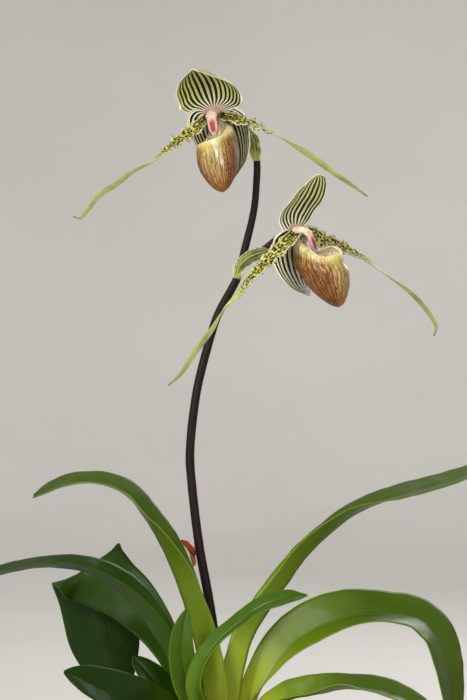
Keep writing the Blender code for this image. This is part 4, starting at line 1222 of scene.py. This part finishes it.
def makeFlower(prefix, flower):
    seed = flower["seed"]
    draw = random.Random(seed)
    turned = Matrix.Translation(Vector(flower["place"]) * mm)
    for axis, angle in flower["turn"].items():
        turned = turned @ Matrix.Rotation(math.radians(angle), 4, axis)
    makeSepals(prefix, flower, turned, draw)
    makePetals(prefix, flower, draw)
    makeLip(prefix, flower, turned)
    makeColumn(prefix, turned, seed + 1)
    makeOvary(prefix, flower["ovary"], seed + 2)
    makeBlade(f"{prefix}Bract", f"{prefix}_bract", dict(bractBlade, **flower["bract"]), bractBuild,
              ["bractSkin", "bractSkin"])
    print("stage: flower made,", prefix)


for prefix, flower in flowers.items():
    makeFlower(prefix, flower)

# Floor, light and camera, in metres, with the lens in millimetres
studio = dict(radius=4.2, bend=1.7, columns=72, rows=24, floorColour=(204, 202, 196),
              air=(1.0, 0.98, 0.95, 1), airStrength=0.45)
lamps = {
    "sunLamp": dict(kind="SUN", place=(-1.1, -1.4, 1.9), aim=(0, 0, 0.2), angle=0.3, power=1.45),
    "keyLamp": dict(kind="AREA", place=(-0.9, -1.2, 0.9), aim=(0, 0, 0.35), size=(0.22, 1.2), power=12),
    "fillLamp": dict(kind="AREA", place=(0.55, -1.35, 0.8), aim=(0.02, 0, 0.45), size=(0.5, 0.5), power=6),
    "backLamp": dict(kind="AREA", place=(0.6, 1.0, 1.1), aim=(0, 0, 0.4), size=(0.8, 0.8), power=8),
}
view = dict(place=(0.0075, -1.3, 0.3745), lens=102.857)


# Round floor whose edge bends up into a wall
def makeFloor():
    paint = Skin("floorPaint", studio["floorColour"], roughness=0.9)
    paint.lay(toned(studio["floorColour"], 0.985), band(paint.grain(3.0), 0.3, 0.7))
    paint.done()

    def placeOf(u, v):
        if v < 0.5:
            reach, z = (studio["radius"] - studio["bend"]) * v * 2, 0.0
        else:
            turn = (v - 0.5) * math.pi
            reach = studio["radius"] - studio["bend"] * (1 - math.sin(turn))
            z = studio["bend"] * (1 - math.cos(turn))
        return (outAt(2 * math.pi * u) * reach + upBy(z)) / mm

    mesh = gridMesh("studioFloor", studio["columns"], studio["rows"], placeOf, True)
    weld(mesh, False)
    floor = newObject("studioFloor", mesh)
    mesh.materials.append(skins["floorPaint"])


def setLights():
    world = bpy.data.worlds.new("studioAir")
    bpy.context.scene.world = world
    world.use_nodes = True
    background = world.node_tree.nodes["Background"]
    background.inputs["Color"].default_value = studio["air"]
    background.inputs["Strength"].default_value = studio["airStrength"]
    for name, lamp in lamps.items():
        light = bpy.data.lights.new(name, lamp["kind"])
        light.energy = lamp["power"]
        if lamp["kind"] == "SUN":
            light.angle = lamp["angle"]
        else:
            light.shape = "RECTANGLE"
            light.size, light.size_y = lamp["size"]
        item = newObject(name, light)
        item.location = lamp["place"]
        aim = Vector(lamp["aim"]) - Vector(lamp["place"])
        item.rotation_euler = aim.to_track_quat("-Z", "Y").to_euler()


def setCamera():
    camera = bpy.data.cameras.new("photoView")
    camera.lens = view["lens"]
    item = newObject("photoView", camera)
    item.location = view["place"]
    item.rotation_euler = (math.pi / 2, 0, 0)
    bpy.context.scene.camera = item


makeFloor()
setLights()
setCamera()
bpy.context.scene.view_settings.view_transform = "Standard"
print("stage: studio set")
